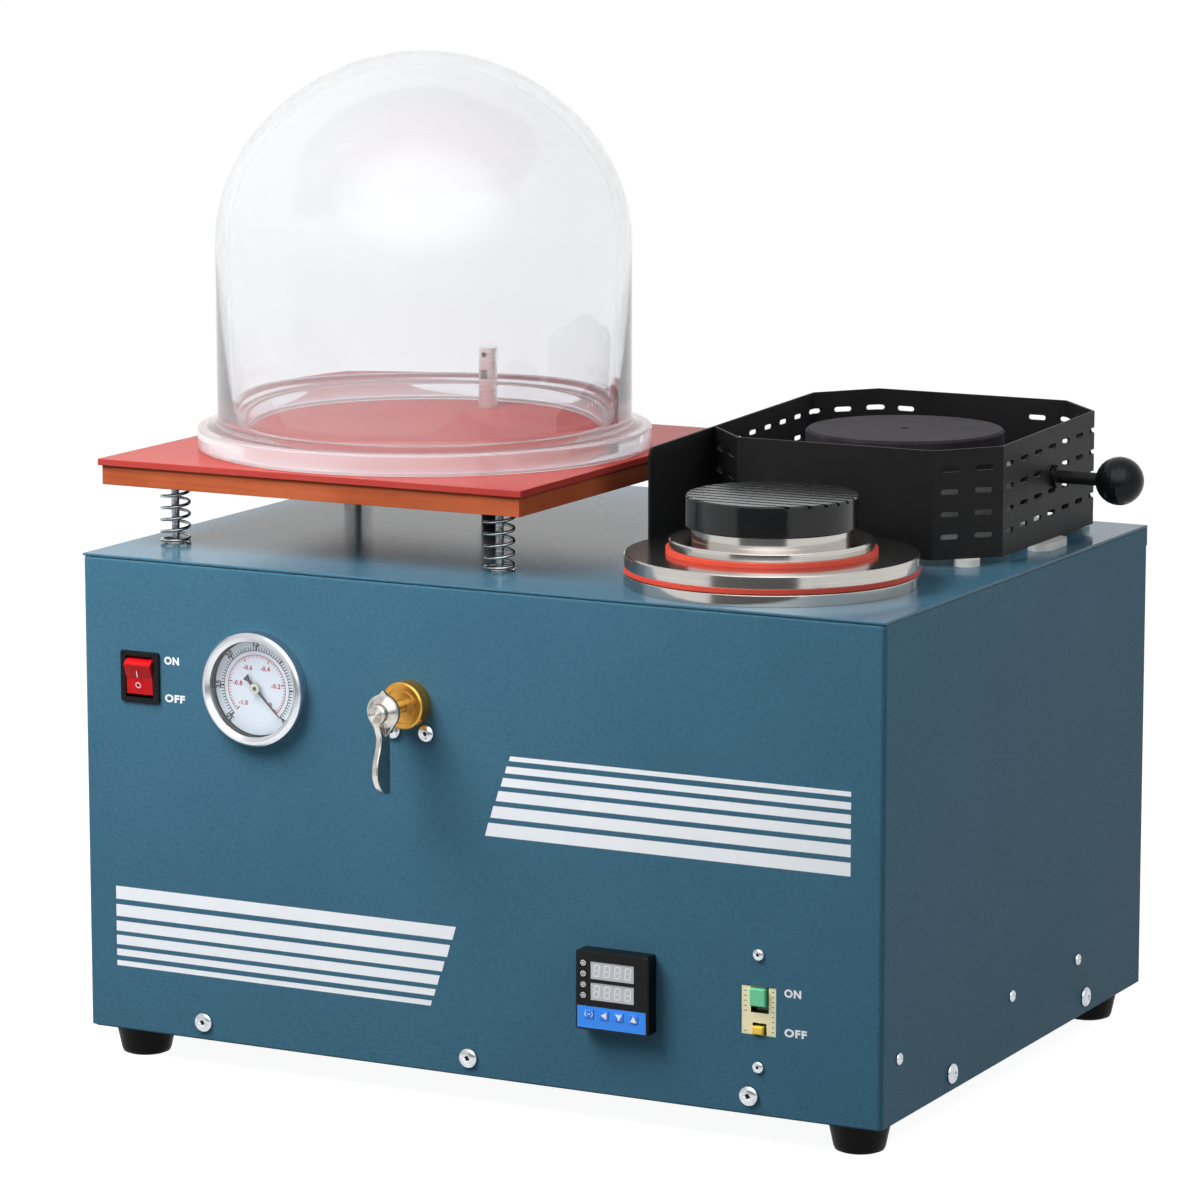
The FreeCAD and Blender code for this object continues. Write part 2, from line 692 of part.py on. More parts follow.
def cover_holes():
    """Openings in the top cover for the pot, the furnace, the table's guide bolts and its hose."""
    z0 = COVER_UNDERSIDE - 1
    z1 = CABINET_TOP + 1
    cutters = [rod(CHAMBER, z0, z1, POT_BORE_R + POT_WALL + POT_HOLE_GAP)]
    cutters.append(rod(FURNACE, z0, z1, CAN_R + POT_HOLE_GAP))
    cutters += [rod(place, z0, z1, BUSH_R) for place in SPRING_PLACES]
    cutters.append(rod(POST, z0, z1, HOSE_R * 2))
    return cutters


def top_cover():
    """The flat cover with its lip down behind the rear panel."""
    plate = box(LEFT, FRONT, COVER_UNDERSIDE, RIGHT, BACK + SHEET, CABINET_TOP)
    lip = box(LEFT, BACK, CABINET_TOP - LIP_DROP, RIGHT, BACK + SHEET, COVER_UNDERSIDE)
    cover = plate.fuse(lip).removeSplitter()
    rims = [e for e in cover.Edges if abs(e.CenterOfMass.z - CABINET_TOP) < 1e-6]
    return cover.makeFillet(COVER_EDGE, rims).cut(cover_holes())


def rear_panel():
    """The rear panel with its vent slots and the power inlet's opening."""
    panel = box(LEFT, BACK - SHEET, SHELL_BOTTOM, RIGHT, BACK, COVER_UNDERSIDE)
    width = INLET_BODY_WIDTH + 2 * PANEL_GAP
    height = INLET_BODY_HEIGHT + 2 * PANEL_GAP
    z0 = -SHEET - 1
    inlet = box(-width / 2, -height / 2, z0, width / 2, height / 2, 1)
    cutters = [on_rear(inlet, INLET_FROM_RIGHT, INLET_UP)]
    small = rod(ORIGIN, z0, 1, SMALL_SHANK_R + HOLE_GAP)
    for side in (-1, 1):
        cutters.append(on_rear(small, INLET_FROM_RIGHT + side * INLET_SCREW_SPREAD / 2, INLET_UP))
    vent = obround(VENT_LENGTH, VENT_WIDTH, z0, 1)
    vent.rotate(ORIGIN, UP, 90)
    for group in VENT_GROUPS_FROM_LEFT:
        for i in range(VENT_COUNT):
            x = group + (i - (VENT_COUNT - 1) / 2) * VENT_PITCH
            cutters.append(on_rear(vent, CABINET_WIDTH - x, VENT_UP))
    return panel.cut(cutters + rear_screw_holes(SHEET + 1))


def base_tray():
    """The floor of the cabinet, with flanges up inside the shell."""
    inset = SHEET + PANEL_GAP
    back = BACK - 2 * SHEET - PANEL_GAP
    top = CABINET_BOTTOM + TRAY_FLANGE
    body = box(LEFT + inset, FRONT + inset, CABINET_BOTTOM, RIGHT - inset, back, top)
    body = body.makeFillet(CORNER_BEND, upright_edges(body))
    wall = inset + SHEET
    room = box(LEFT + wall, FRONT + wall, TRAY_FLOOR, RIGHT - wall, back - SHEET, top + 1)
    tray = body.cut(room.makeFillet(CORNER_BEND - SHEET, upright_edges(room)))
    hole = LARGE_SHANK_R + HOLE_GAP
    drill = rod(ORIGIN, -inset - SHEET - 1, 1, hole)
    cutters = [on_front(drill, x, LARGE_SCREW_UP) for x in FRONT_SCREWS_FROM_LEFT]
    for side in (-1, 1):
        cutters += [on_side(drill, side, y, LARGE_SCREW_UP) for y in SIDE_LARGE_SCREWS_FROM_FRONT]
    foot_hole = FOOT_SCREW_R + HOLE_GAP
    cutters += [rod(place, CABINET_BOTTOM - 1, TRAY_FLOOR + 1, foot_hole) for place in FOOT_PLACES]
    return tray.cut(cutters)


def rubber_foot():
    """One tapered foot with a rounded tread and a recess for its screw."""
    tread = FOOT_BOTTOM_R - FOOT_EDGE_R
    hole = FOOT_SCREW_R + HOLE_GAP
    profile = [(FOOT_TOP_R, FOOT_HEIGHT), (hole, FOOT_HEIGHT), (hole, FOOT_RECESS_DEPTH)]
    profile += [(FOOT_RECESS_R, FOOT_RECESS_DEPTH), (FOOT_RECESS_R, 0)]
    profile += arc_profile(tread, FOOT_EDGE_R, FOOT_EDGE_R, 270, 360, EDGE_STEPS)
    return turned(profile, ORIGIN)


def foot_screw():
    """A screw up through the foot, with its nut on the tray."""
    length = FOOT_HEIGHT - FOOT_RECESS_DEPTH + SHEET + NUT_HEIGHT + 1
    body = screw(FOOT_RECESS_R - 1.5, FOOT_RECESS_DEPTH / 3, FOOT_SCREW_R, length)
    body.rotate(ORIGIN, V(1, 0, 0), 180)
    body.translate(V(0, 0, FOOT_RECESS_DEPTH))
    nut = hexagon(NUT_ACROSS, TRAY_FLOOR, TRAY_FLOOR + NUT_HEIGHT, FOOT_SCREW_R)
    return body.fuse(nut)


def large_case_screws():
    """The large screws along the bottom of the shell."""
    length = SHEET + PANEL_GAP + SHEET + 4
    one = screw(LARGE_HEAD_R, LARGE_HEAD_HEIGHT, LARGE_SHANK_R, length)
    screws = [on_front(one, x, LARGE_SCREW_UP) for x in FRONT_SCREWS_FROM_LEFT]
    for side in (-1, 1):
        screws += [on_side(one, side, y, LARGE_SCREW_UP) for y in SIDE_LARGE_SCREWS_FROM_FRONT]
    return screws


def small_case_screws():
    """The small screws in the side walls and round the rear panel."""
    one = screw(SMALL_HEAD_R, SMALL_HEAD_HEIGHT, SMALL_SHANK_R, SMALL_SCREW_LENGTH)
    screws = [on_rear(one, x, up) for x, up in rear_screw_places()]
    for side in (-1, 1):
        screws += [on_side(one, side, y, SIDE_SMALL_SCREW_UP) for y in SIDE_SMALL_SCREWS_FROM_FRONT]
    return screws


# ---- Investing table -----------------------------------------------------------------------------
def table_board():
    """The phenolic board with counterbored holes for the guide bolts."""
    x = BOARD_WIDTH / 2
    y = BOARD_DEPTH / 2
    board = box(TABLE.x - x, TABLE.y - y, BOARD_BOTTOM, TABLE.x + x, TABLE.y + y, BOARD_TOP)
    cutters = [rod(POST, BOARD_BOTTOM - 1, BOARD_TOP + 1, HOSE_R + HOLE_GAP)]
    for place in SPRING_PLACES:
        cutters.append(rod(place, BOARD_BOTTOM - 1, BOARD_TOP + 1, GUIDE_R + HOLE_GAP))
        cutters.append(rod(place, BOARD_TOP - GUIDE_HEAD_HEIGHT, BOARD_TOP + 1, GUIDE_HEAD_R + HOLE_GAP))
    return board.cut(cutters)


def table_pad():
    """The silicone pad that seals against the bell jar."""
    x = BOARD_WIDTH / 2 + PAD_OVERHANG
    y = BOARD_DEPTH / 2 + PAD_OVERHANG
    pad = box(TABLE.x - x, TABLE.y - y, BOARD_TOP, TABLE.x + x, TABLE.y + y, PAD_TOP)
    return pad.cut(rod(POST, BOARD_TOP - 1, PAD_TOP + 1, POST_R + HOLE_GAP))


def vacuum_post():
    """The hollow post that draws the air out above the splash, with its tail under the board."""
    top = PAD_TOP + POST_HEIGHT
    collar = BOARD_BOTTOM - POST_COLLAR_DROP
    profile = [(POST_BORE_R, collar), (HOSE_R, collar), (HOSE_R, BOARD_TOP), (POST_R, BOARD_TOP)]
    profile += [(POST_R, top - POST_EDGE), (POST_R - POST_EDGE, top), (0, top)]
    profile += [(0, top - POST_CAP), (POST_BORE_R, top - POST_CAP)]
    post = turned(profile, POST)
    slot_top = top - POST_SLOT_BELOW_TOP
    half = POST_SLOT_WIDTH / 2
    front = POST.y - POST_R - 1
    slot = box(POST.x - half, front, slot_top - POST_SLOT_HEIGHT, POST.x + half, POST.y, slot_top)
    start = V(POST.x, front, top - POST_SCREW_BELOW_TOP)
    hole = Part.makeCylinder(POST_SCREW_R, POST_R + 1, start, V(0, 1, 0))
    return post.cut([slot, hole])


def guide_bolts():
    """Bolts from the board down through the springs, with stop nuts under the cover."""
    stop = COVER_UNDERSIDE - BUSH_FLANGE - SEAT_GAP
    bottom = stop - NUT_HEIGHT - 2
    nut = hexagon(NUT_ACROSS, stop - NUT_HEIGHT, stop, GUIDE_R)
    bolts = []
    for place in SPRING_PLACES:
        head = rod(place, BOARD_TOP - GUIDE_HEAD_HEIGHT, BOARD_TOP, GUIDE_HEAD_R)
        shank = rod(place, bottom, BOARD_TOP - GUIDE_HEAD_HEIGHT, GUIDE_R)
        bolts.append(head.fuse([shank, at(nut, place.x, place.y)]).removeSplitter())
    return bolts


def guide_bushes():
    """Flanged plastic bushes in the cover that guide the bolts."""
    bushes = []
    for place in SPRING_PLACES:
        flange = rod(place, COVER_UNDERSIDE - BUSH_FLANGE, COVER_UNDERSIDE, BUSH_FLANGE_R)
        sleeve = rod(place, COVER_UNDERSIDE, CABINET_TOP + 1, BUSH_R)
        bore = rod(place, COVER_UNDERSIDE - BUSH_FLANGE - 1, CABINET_TOP + 2, GUIDE_R + GUIDE_FIT)
        bushes.append(flange.fuse(sleeve).removeSplitter().cut(bore))
    return bushes


def table_spring():
    """One compression spring, ground flat at both ends, standing on z = 0."""
    pitch = TABLE_LIFT / SPRING_TURNS
    path = Part.Wire(Part.makeHelix(pitch, TABLE_LIFT + pitch / 4, SPRING_R).Edges)
    path.translate(V(0, 0, -pitch / 8))
    start = path.Edges[0].valueAt(path.Edges[0].FirstParameter)
    along = path.Edges[0].tangentAt(path.Edges[0].FirstParameter)
    side = along.cross(V(1, 0, 0)).normalize()
    angles = [math.radians(360 * i / SPRING_FLATS) for i in range(SPRING_FLATS)]
    corners = [V(math.cos(a), 0, 0) + side * math.sin(a) for a in angles]
    section = Part.Wire(outline([start + corner * SPRING_WIRE_R for corner in corners]))
    coil = path.makePipeShell([section], True, True)
    reach = SPRING_R + 2 * SPRING_WIRE_R
    return coil.common(box(-reach, -reach, 0, reach, reach, TABLE_LIFT))


def dome_profile(offset, knuckle, crown, shoulder):
    """(r, z) pairs up a dome: a knuckle arc centred offset from the axis, then a crown arc tangent to it."""
    drop = math.sqrt((crown - knuckle) ** 2 - offset ** 2)
    meet = math.degrees(math.atan2(drop, offset))
    low = arc_profile(offset, shoulder, knuckle, 0, meet, JAR_KNUCKLE_STEPS)
    high = arc_profile(0, shoulder - drop, crown, meet, 90, JAR_CROWN_STEPS)
    return low + high[1:-1] + [(0, shoulder - drop + crown)]


def bell_jar():
    """The clear jar: flange, straight wall and domed top, turned about the table's middle."""
    shoulder = PAD_TOP + JAR_SHOULDER_HEIGHT
    flange = PAD_TOP + JAR_FLANGE_THICK
    root = flange + JAR_ROOT_FILLET
    offset = JAR_R - JAR_KNUCKLE_R
    outer = dome_profile(offset, JAR_KNUCKLE_R, JAR_CROWN_R, shoulder)
    inner = dome_profile(offset, JAR_KNUCKLE_R - JAR_WALL, JAR_CROWN_R - JAR_WALL, shoulder)
    profile = [(JAR_MOUTH_R, PAD_TOP), (JAR_FLANGE_R, PAD_TOP), (JAR_FLANGE_R, flange - JAR_EDGE)]
    profile += [(JAR_FLANGE_R - JAR_EDGE, flange)]
    profile += arc_profile(JAR_R + JAR_ROOT_FILLET, root, JAR_ROOT_FILLET, 270, 180, ROLL_STEPS)
    profile += outer + inner[::-1] + [(JAR_R - JAR_WALL, flange), (JAR_MOUTH_R, flange)]
    return turned(profile, TABLE)


# ---- Casting chamber -----------------------------------------------------------------------------
def chamber_pot():
    """The pot that hangs under the cover, with a dished floor and a hose port on its left."""
    outer = POT_BORE_R + POT_WALL
    floor = CABINET_TOP - POT_DEPTH
    dish = POT_DISH
    profile = [(0, floor - POT_WALL), (outer - dish, floor - POT_WALL), (outer, floor - POT_WALL + dish)]
    profile += [(outer, CABINET_TOP), (POT_BORE_R, CABINET_TOP), (POT_BORE_R, floor + dish)]
    profile += [(POT_BORE_R - dish, floor), (0, floor)]
    pot = turned(profile, CHAMBER)
    start = V(CHAMBER.x - POT_BORE_R - POT_WALL / 2, CHAMBER.y, pot_port_height())
    return pot.fuse(Part.makeCylinder(PORT_R, POT_WALL / 2 + PORT_LENGTH, start, V(-1, 0, 0)))


def pot_port_height():
    """Height of the pot's hose port."""
    return CABINET_TOP - POT_DEPTH / 2


def chamber_flange():
    """The ground steel flange on the cover, round the pot's mouth."""
    flange = ring(CHAMBER, CABINET_TOP, FLANGE_TOP, CHAMBER_FLANGE_R, POT_BORE_R)
    return eased(flange, FLANGE_TOP, CHAMBER_FLANGE_R, PLATE_EDGE)


def adapter_plate():
    """The plate that narrows the chamber, with a spigot down into the flange."""
    bottom = ADAPTER_BOTTOM - GASKET_THICK - SPIGOT_DROP
    spigot = POT_BORE_R - SPIGOT_GAP
    profile = [(ADAPTER_BORE_R, bottom), (spigot, bottom), (spigot, ADAPTER_BOTTOM)]
    profile += [(ADAPTER_R, ADAPTER_BOTTOM), (ADAPTER_R, ADAPTER_TOP - PLATE_EDGE)]
    profile += [(ADAPTER_R - PLATE_EDGE, ADAPTER_TOP)]
    profile += [(ADAPTER_BORE_R, ADAPTER_TOP)]
    return turned(profile, CHAMBER)


def flask_ring():
    """The ring that holds the flask's rim: spigot, flange and neck."""
    bottom = ADAPTER_TOP - SPIGOT_DROP
    step = FLASK_RING_BOTTOM + FLASK_RING_THICK
    spigot = ADAPTER_BORE_R - SPIGOT_GAP
    profile = [(FLASK_BORE_R, bottom), (spigot, bottom), (spigot, FLASK_RING_BOTTOM)]
    profile += [(FLASK_RING_R, FLASK_RING_BOTTOM), (FLASK_RING_R, step - PLATE_EDGE)]
    profile += [(FLASK_RING_R - PLATE_EDGE, step), (FLASK_NECK_R, step)]
    profile += [(FLASK_NECK_R, FLASK_NECK_TOP), (FLASK_BORE_R, FLASK_NECK_TOP)]
    return turned(profile, CHAMBER)


def chamber_cover():
    """The black disc on the neck, with parallel grooves across its top."""
    bottom = FLASK_NECK_TOP
    top = bottom + COVER_THICK
    profile = [(0, bottom), (COVER_R - PLATE_EDGE, bottom), (COVER_R, bottom + PLATE_EDGE)]
    profile += [(COVER_R, top - PLATE_EDGE), (COVER_R - PLATE_EDGE, top), (0, top)]
    x0 = CHAMBER.x - COVER_R - 1
    x1 = CHAMBER.x + COVER_R + 1
    half = COVER_GROOVE_WIDTH / 2
    grooves = []
    for i in range(COVER_GROOVES):
        y = CHAMBER.y + (i - (COVER_GROOVES - 1) / 2) * COVER_GROOVE_PITCH
        grooves.append(box(x0, y - half, top - COVER_GROOVE_DEPTH, x1, y + half, top + 1))
    return turned(profile, CHAMBER).cut(grooves)


# ---- Furnace -------------------------------------------------------------------------------------
def furnace_can():
    """The steel can with its turned-in mouth, and the flange welded round it that hangs on the cover."""
    inner = CAN_R - CAN_WALL
    profile = [(0, CAN_BOTTOM), (CAN_R, CAN_BOTTOM), (CAN_R, CAN_TOP), (CAN_MOUTH_R, CAN_TOP)]
    profile += [(CAN_MOUTH_R, CAN_TOP - CAN_WALL), (inner, CAN_TOP - CAN_WALL)]
    profile += [(inner, CAN_BOTTOM + CAN_WALL), (0, CAN_BOTTOM + CAN_WALL)]
    return [turned(profile, FURNACE), ring(FURNACE, CABINET_TOP, CABINET_TOP + CAN_WALL, CAN_FLANGE_R, CAN_R)]


def furnace_lining():
    """The ceramic fibre lining between the can and the heater."""
    bottom = CAN_BOTTOM + CAN_WALL
    outer = CAN_R - CAN_WALL - LINING_GAP
    top = CAN_TOP - CAN_WALL
    profile = [(0, bottom), (outer, bottom), (outer, top), (CAN_MOUTH_R, top)]
    profile += [(CAN_MOUTH_R, bottom + LINING_FLOOR), (0, bottom + LINING_FLOOR)]
    return turned(profile, FURNACE)


def furnace_heater():
    """The ceramic heater tube, grooved inside for its wire."""
    bottom = CAN_BOTTOM + CAN_WALL + LINING_FLOOR
    top = CAN_TOP - LID_PLUG_DROP - HEATER_TOP_GAP
    outer = CAN_MOUTH_R - HEATER_GAP
    inner = outer - HEATER_WALL
    pitch = (top - bottom) / HEATER_GROOVES
    profile = [(inner, bottom), (outer, bottom), (outer, top), (inner, top)]
    for i in range(HEATER_GROOVES):
        middle = top - (i + 0.5) * pitch
        deep = inner + HEATER_GROOVE_DEPTH
        half = HEATER_GROOVE_WIDTH / 2
        profile += [(inner, middle + half), (deep, middle + half)]
        profile += [(deep, middle - half), (inner, middle - half)]
    return turned(profile, FURNACE)


def crucible():
    """The tapered graphite crucible with a thick lip."""
    bottom = CAN_BOTTOM + CAN_WALL + LINING_FLOOR
    top = bottom + CRUCIBLE_HEIGHT
    wall = CRUCIBLE_WALL
    profile = [(0, bottom), (CRUCIBLE_BOTTOM_R, bottom), (CRUCIBLE_TOP_R, top - CRUCIBLE_LIP)]
    profile += [(CRUCIBLE_LIP_R, top - CRUCIBLE_LIP), (CRUCIBLE_LIP_R, top), (CRUCIBLE_TOP_R - wall, top)]
    profile += [(CRUCIBLE_BOTTOM_R - wall, bottom + wall), (0, bottom + wall)]
    return turned(profile, FURNACE)


def furnace_lid():
    """The thick lid with a plug under it and a small vent in the middle."""
    top = CAN_TOP + FURNACE_LID_THICK
    plug = CAN_MOUTH_R - LID_PLUG_GAP
    drop = CAN_TOP - LID_PLUG_DROP
    profile = [(LID_HOLE_R, drop), (plug, drop), (plug, CAN_TOP), (FURNACE_LID_R, CAN_TOP)]
    profile += [(FURNACE_LID_R, top - LID_EDGE), (FURNACE_LID_R - LID_EDGE, top), (LID_HOLE_R, top)]
    return turned(profile, FURNACE)


# ---- Guard ---------------------------------------------------------------------------------------
def octagon(width, depth, chamfer):
    """Corners of a rectangle with cut corners, centred on the furnace."""
    x = width / 2
    y = depth / 2
    corners = [(x - chamfer, -y), (x, -y + chamfer), (x, y - chamfer), (x - chamfer, y)]
    corners += [(-x + chamfer, y), (-x, y - chamfer), (-x, -y + chamfer), (-x + chamfer, -y)]
    return [V(FURNACE.x + a, FURNACE.y + b, GUARD_BOTTOM) for a, b in corners]


def guard_top(y):
    """Height of the guard's sloping top edge at a depth y."""
    front = FURNACE.y - GUARD_DEPTH / 2
    slope = (GUARD_BACK_HEIGHT - GUARD_FRONT_HEIGHT) / GUARD_DEPTH
    return GUARD_BOTTOM + GUARD_FRONT_HEIGHT + slope * (y - front)


def guard_wall():
    """The octagon of sheet, still without slots."""
    shrink = 2 * SHEET
    inner_chamfer = GUARD_CHAMFER - SHEET * (2 - math.sqrt(2))
    outer = face_of(outline(octagon(GUARD_WIDTH, GUARD_DEPTH, GUARD_CHAMFER)))
    inner = face_of(outline(octagon(GUARD_WIDTH - shrink, GUARD_DEPTH - shrink, inner_chamfer)))
    height = max(GUARD_BACK_HEIGHT, GUARD_FRONT_HEIGHT) + 2
    wall = outer.cut(inner).extrude(V(0, 0, height))
    left = FURNACE.x - GUARD_WIDTH / 2
    start = FURNACE.y - GUARD_DEPTH / 2 + GUARD_CHAMFER
    wing = box(left, start - GUARD_WING, GUARD_BOTTOM, left + SHEET, start + 1, GUARD_BOTTOM + height)
    return wall.fuse(wing).removeSplitter()


def guard_top_cutter():
    """What stands above the sloping top edge."""
    y0 = FURNACE.y - GUARD_DEPTH
    y1 = FURNACE.y + GUARD_DEPTH
    x = FURNACE.x - GUARD_WIDTH
    high = GUARD_BOTTOM + 2 * max(GUARD_BACK_HEIGHT, GUARD_FRONT_HEIGHT)
    corners = [V(x, y0, guard_top(y0)), V(x, y1, guard_top(y1)), V(x, y1, high), V(x, y0, high)]
    return face_of(outline(corners)).extrude(V(2 * GUARD_WIDTH, 0, 0))


def along_walls(corners, distance):
    """The place at a distance along a chain of corners, and the direction of the wall it lies in."""
    for start, end in zip(corners, corners[1:]):
        length = (end - start).Length
        if distance <= length:
            break
        distance -= length
    along = (end - start).normalize()
    return start + along * distance, along


def slot_column(place, along):
    """Cutters for one column of slots, deep enough inwards to pass through a bend."""
    one = obround(GUARD_SLOT_LENGTH, GUARD_SLOT_WIDTH, -GUARD_SLOT_REACH, 2 * SHEET)
    one.rotate(ORIGIN, V(1, 0, 0), 90)
    one.rotate(ORIGIN, UP, math.degrees(math.atan2(along.y, along.x)))
    top = guard_top(place.y) - GUARD_SLOT_DOWN
    return [at(one, place.x, place.y, top - row * GUARD_ROW_PITCH) for row in range(GUARD_SLOT_ROWS)]


def guard_slots():
    """The slots: one pitch along the unfolded sheet from each front bend round to the back."""
    right = octagon(GUARD_WIDTH - SHEET, GUARD_DEPTH - SHEET, GUARD_CHAMFER)[:5]
    cutters = []
    for column in range(GUARD_SLOT_COLUMNS):
        distance = GUARD_FIRST_COLUMN + column * GUARD_COLUMN_PITCH
        cutters += slot_column(*along_walls(right, distance))
    return cutters + [cutter.mirror(FURNACE, V(1, 0, 0)) for cutter in cutters]


def handle_axis():
    """Where the handle leaves the guard's right wall."""
    return V(FURNACE.x + GUARD_WIDTH / 2, FURNACE.y + HANDLE_BACK, CABINET_TOP + HANDLE_UP)


def guard_sheet():
    """The finished guard: wall, wing, sloping top edge, slots and the handle's hole."""
    wall = guard_wall().cut(guard_top_cutter())
    front = FURNACE.y - GUARD_DEPTH / 2 + GUARD_CHAMFER - GUARD_WING
    top_edge = [e for e in wall.Edges if e.CenterOfMass.y < front + 1e-3 and abs(e.tangentAt(0).x) > 0.999]
    top_edge = [e for e in top_edge if e.CenterOfMass.z > GUARD_BOTTOM + 1]
    wall = wall.makeFillet(GUARD_WING_ROUND, top_edge)
    axis = handle_axis()
    hole = Part.makeCylinder(HANDLE_R + HOLE_GAP, 4 * SHEET, axis - V(2 * SHEET, 0, 0), V(1, 0, 0))
    return wall.cut(guard_slots() + [hole])


def guard_spacers():
    """Low stainless spacers on the cover, under the guard's cut corners and sides."""
    offset_x = GUARD_WIDTH / 2 - GUARD_CHAMFER / 2 - SHEET / 2
    offset_y = GUARD_DEPTH / 2 - GUARD_CHAMFER / 2 - SHEET / 2
    corners = [FURNACE + V(sx * offset_x, sy * offset_y, 0) for sx in (-1, 1) for sy in (-1, 1)]
    spacers = [rod(place, CABINET_TOP, GUARD_BOTTOM, SPACER_R) for place in corners]
    bar = obround(SPACER_BAR, 2 * SPACER_R, CABINET_TOP, GUARD_BOTTOM)
    bar.rotate(ORIGIN, UP, 90)
    wall = GUARD_WIDTH / 2 - SHEET / 2
    spacers += [at(bar, FURNACE.x + side * wall, FURNACE.y) for side in (-1, 1)]
    return spacers


def guard_handle():
    """The rod through the guard's wall, with its collar outside and its nut inside."""
    axis = handle_axis()
    inside = HANDLE_NUT + SHEET + 1
    length = inside + BALL_REACH - BALL_R + BALL_SEAT
    stem = Part.makeCylinder(HANDLE_R, length, axis - V(inside, 0, 0), V(1, 0, 0))
    collar = Part.makeCylinder(HANDLE_COLLAR_R, HANDLE_COLLAR, axis, V(1, 0, 0))
    nut = hexagon(2 * HANDLE_COLLAR_R - 1, 0, HANDLE_NUT, HANDLE_R)
    nut.rotate(ORIGIN, V(0, 1, 0), 90)
    return stem.fuse([collar, at(nut, axis.x - SHEET - HANDLE_NUT, axis.y, axis.z)]).removeSplitter()


def guard_ball():
    """The black ball knob on the end of the rod."""
    axis = handle_axis()
    centre = axis + V(BALL_REACH, 0, 0)
    bore = HANDLE_R + HOLE_GAP
    bore_end = BALL_SEAT + SEAT_GAP - BALL_R
    flat = BALL_FLAT - BALL_R
    profile = [(0, bore_end), (bore, bore_end), (bore, flat)]
    start = math.degrees(math.asin(flat / BALL_R))
    profile += arc_profile(0, 0, BALL_R, start, 90, BALL_STEPS)[:-1] + [(0, BALL_R)]
    ball = turned(profile, ORIGIN)
    ball.rotate(ORIGIN, V(0, 1, 0), 90)
    return at(ball, centre.x, centre.y, centre.z)


# ---- Rocker switch -------------------------------------------------------------------------------
def rocker_body_height():
    """Height of the switch body behind the panel."""
    return 2 * (ROCKER_SWING_R + ROCKER_GAP + ROCKER_WALL)


def rocker_housing():
    """The switch body with its bezel, open at the front for the rocker."""
    width = ROCKER_CAVITY_WIDTH + 2 * ROCKER_WALL
    bezel = rounded_block(ROCKER_BEZEL_WIDTH, ROCKER_BEZEL_HEIGHT, 0, ROCKER_BEZEL_PROUD, 1.5)
    rim = [e for e in bezel.Edges if abs(e.CenterOfMass.z - ROCKER_BEZEL_PROUD) < 1e-6]
    bezel = bezel.makeChamfer(0.6, rim)
    body = rounded_block(width, rocker_body_height(), -ROCKER_BODY_DEPTH, 0, 1.0)
    high = ROCKER_SWING_R + ROCKER_GAP
    half = ROCKER_CAVITY_WIDTH / 2
    cavity = box(-half, -high, -ROCKER_CAVITY_DEPTH, half, high, ROCKER_BEZEL_PROUD + 1)
    pin = half + ROCKER_PIN_LENGTH
    hole = Part.makeCylinder(ROCKER_PIN_R + STEM_FIT, 2 * pin, V(-pin, 0, -ROCKER_PIVOT_DEPTH), V(1, 0, 0))
    return on_front(bezel.fuse(body).cut([cavity, hole]), ROCKER_FROM_LEFT, ROCKER_UP)


def rocker():
    """The red rocker: a saddle with round ends that swing clear of the bezel, shown tipped to off."""
    def arc_point(degrees, side=1):
        angle = math.radians(degrees)
        return V(0, side * ROCKER_SWING_R * math.cos(angle), ROCKER_SWING_R * math.sin(angle))

    ridge = ROCKER_RIDGE_DEG
    skirt = ROCKER_SKIRT_DEG
    stops = (-skirt, (ridge - skirt) / 2, ridge)
    edges = [Part.Arc(*[arc_point(a, side) for a in stops]).toShape() for side in (1, -1)]
    edges += chain([arc_point(ridge), V(0, 0, ROCKER_SADDLE), arc_point(ridge, -1)])
    edges += chain([arc_point(-skirt, -1), arc_point(-skirt)])
    half = ROCKER_CAVITY_WIDTH / 2 - ROCKER_GAP
    shape = swept(edges, V(2 * half, 0, 0))
    shape.translate(V(-half, 0, 0))
    pin = half + ROCKER_PIN_LENGTH
    shape = shape.fuse(Part.makeCylinder(ROCKER_PIN_R, 2 * pin, V(-pin, 0, 0), V(1, 0, 0)))
    shape.rotate(ORIGIN, V(1, 0, 0), ROCKER_TILT_DEG)
    shape.translate(V(0, 0, -ROCKER_PIVOT_DEPTH))
    return on_front(shape, ROCKER_FROM_LEFT, ROCKER_UP)


# ---- Vacuum gauge --------------------------------------------------------------------------------
def gauge_case():
    """The cup behind the panel, with its stem at the back and the movement with the spindle's bearing."""
    back = -GAUGE_CASE_DEPTH
    floor = back + GAUGE_CASE_WALL
    inner = GAUGE_CASE_R - GAUGE_CASE_WALL
    bearing = SPINDLE_R + SPINDLE_FIT
    profile = [(0, back - GAUGE_STEM_LENGTH), (GAUGE_STEM_R, back - GAUGE_STEM_LENGTH), (GAUGE_STEM_R, back)]
    profile += [(GAUGE_CASE_R, back), (GAUGE_CASE_R, 0), (inner, 0), (inner, floor)]
    profile += [(GAUGE_MOVEMENT_R, floor)]
    profile += [(GAUGE_MOVEMENT_R, -GAUGE_DIAL_THICK), (bearing, -GAUGE_DIAL_THICK)]
    profile += [(bearing, -GAUGE_DIAL_THICK - SPINDLE_DEPTH - 1), (0, -GAUGE_DIAL_THICK - SPINDLE_DEPTH - 1)]
    return on_front(turned(profile, ORIGIN), GAUGE_FROM_LEFT, GAUGE_UP)


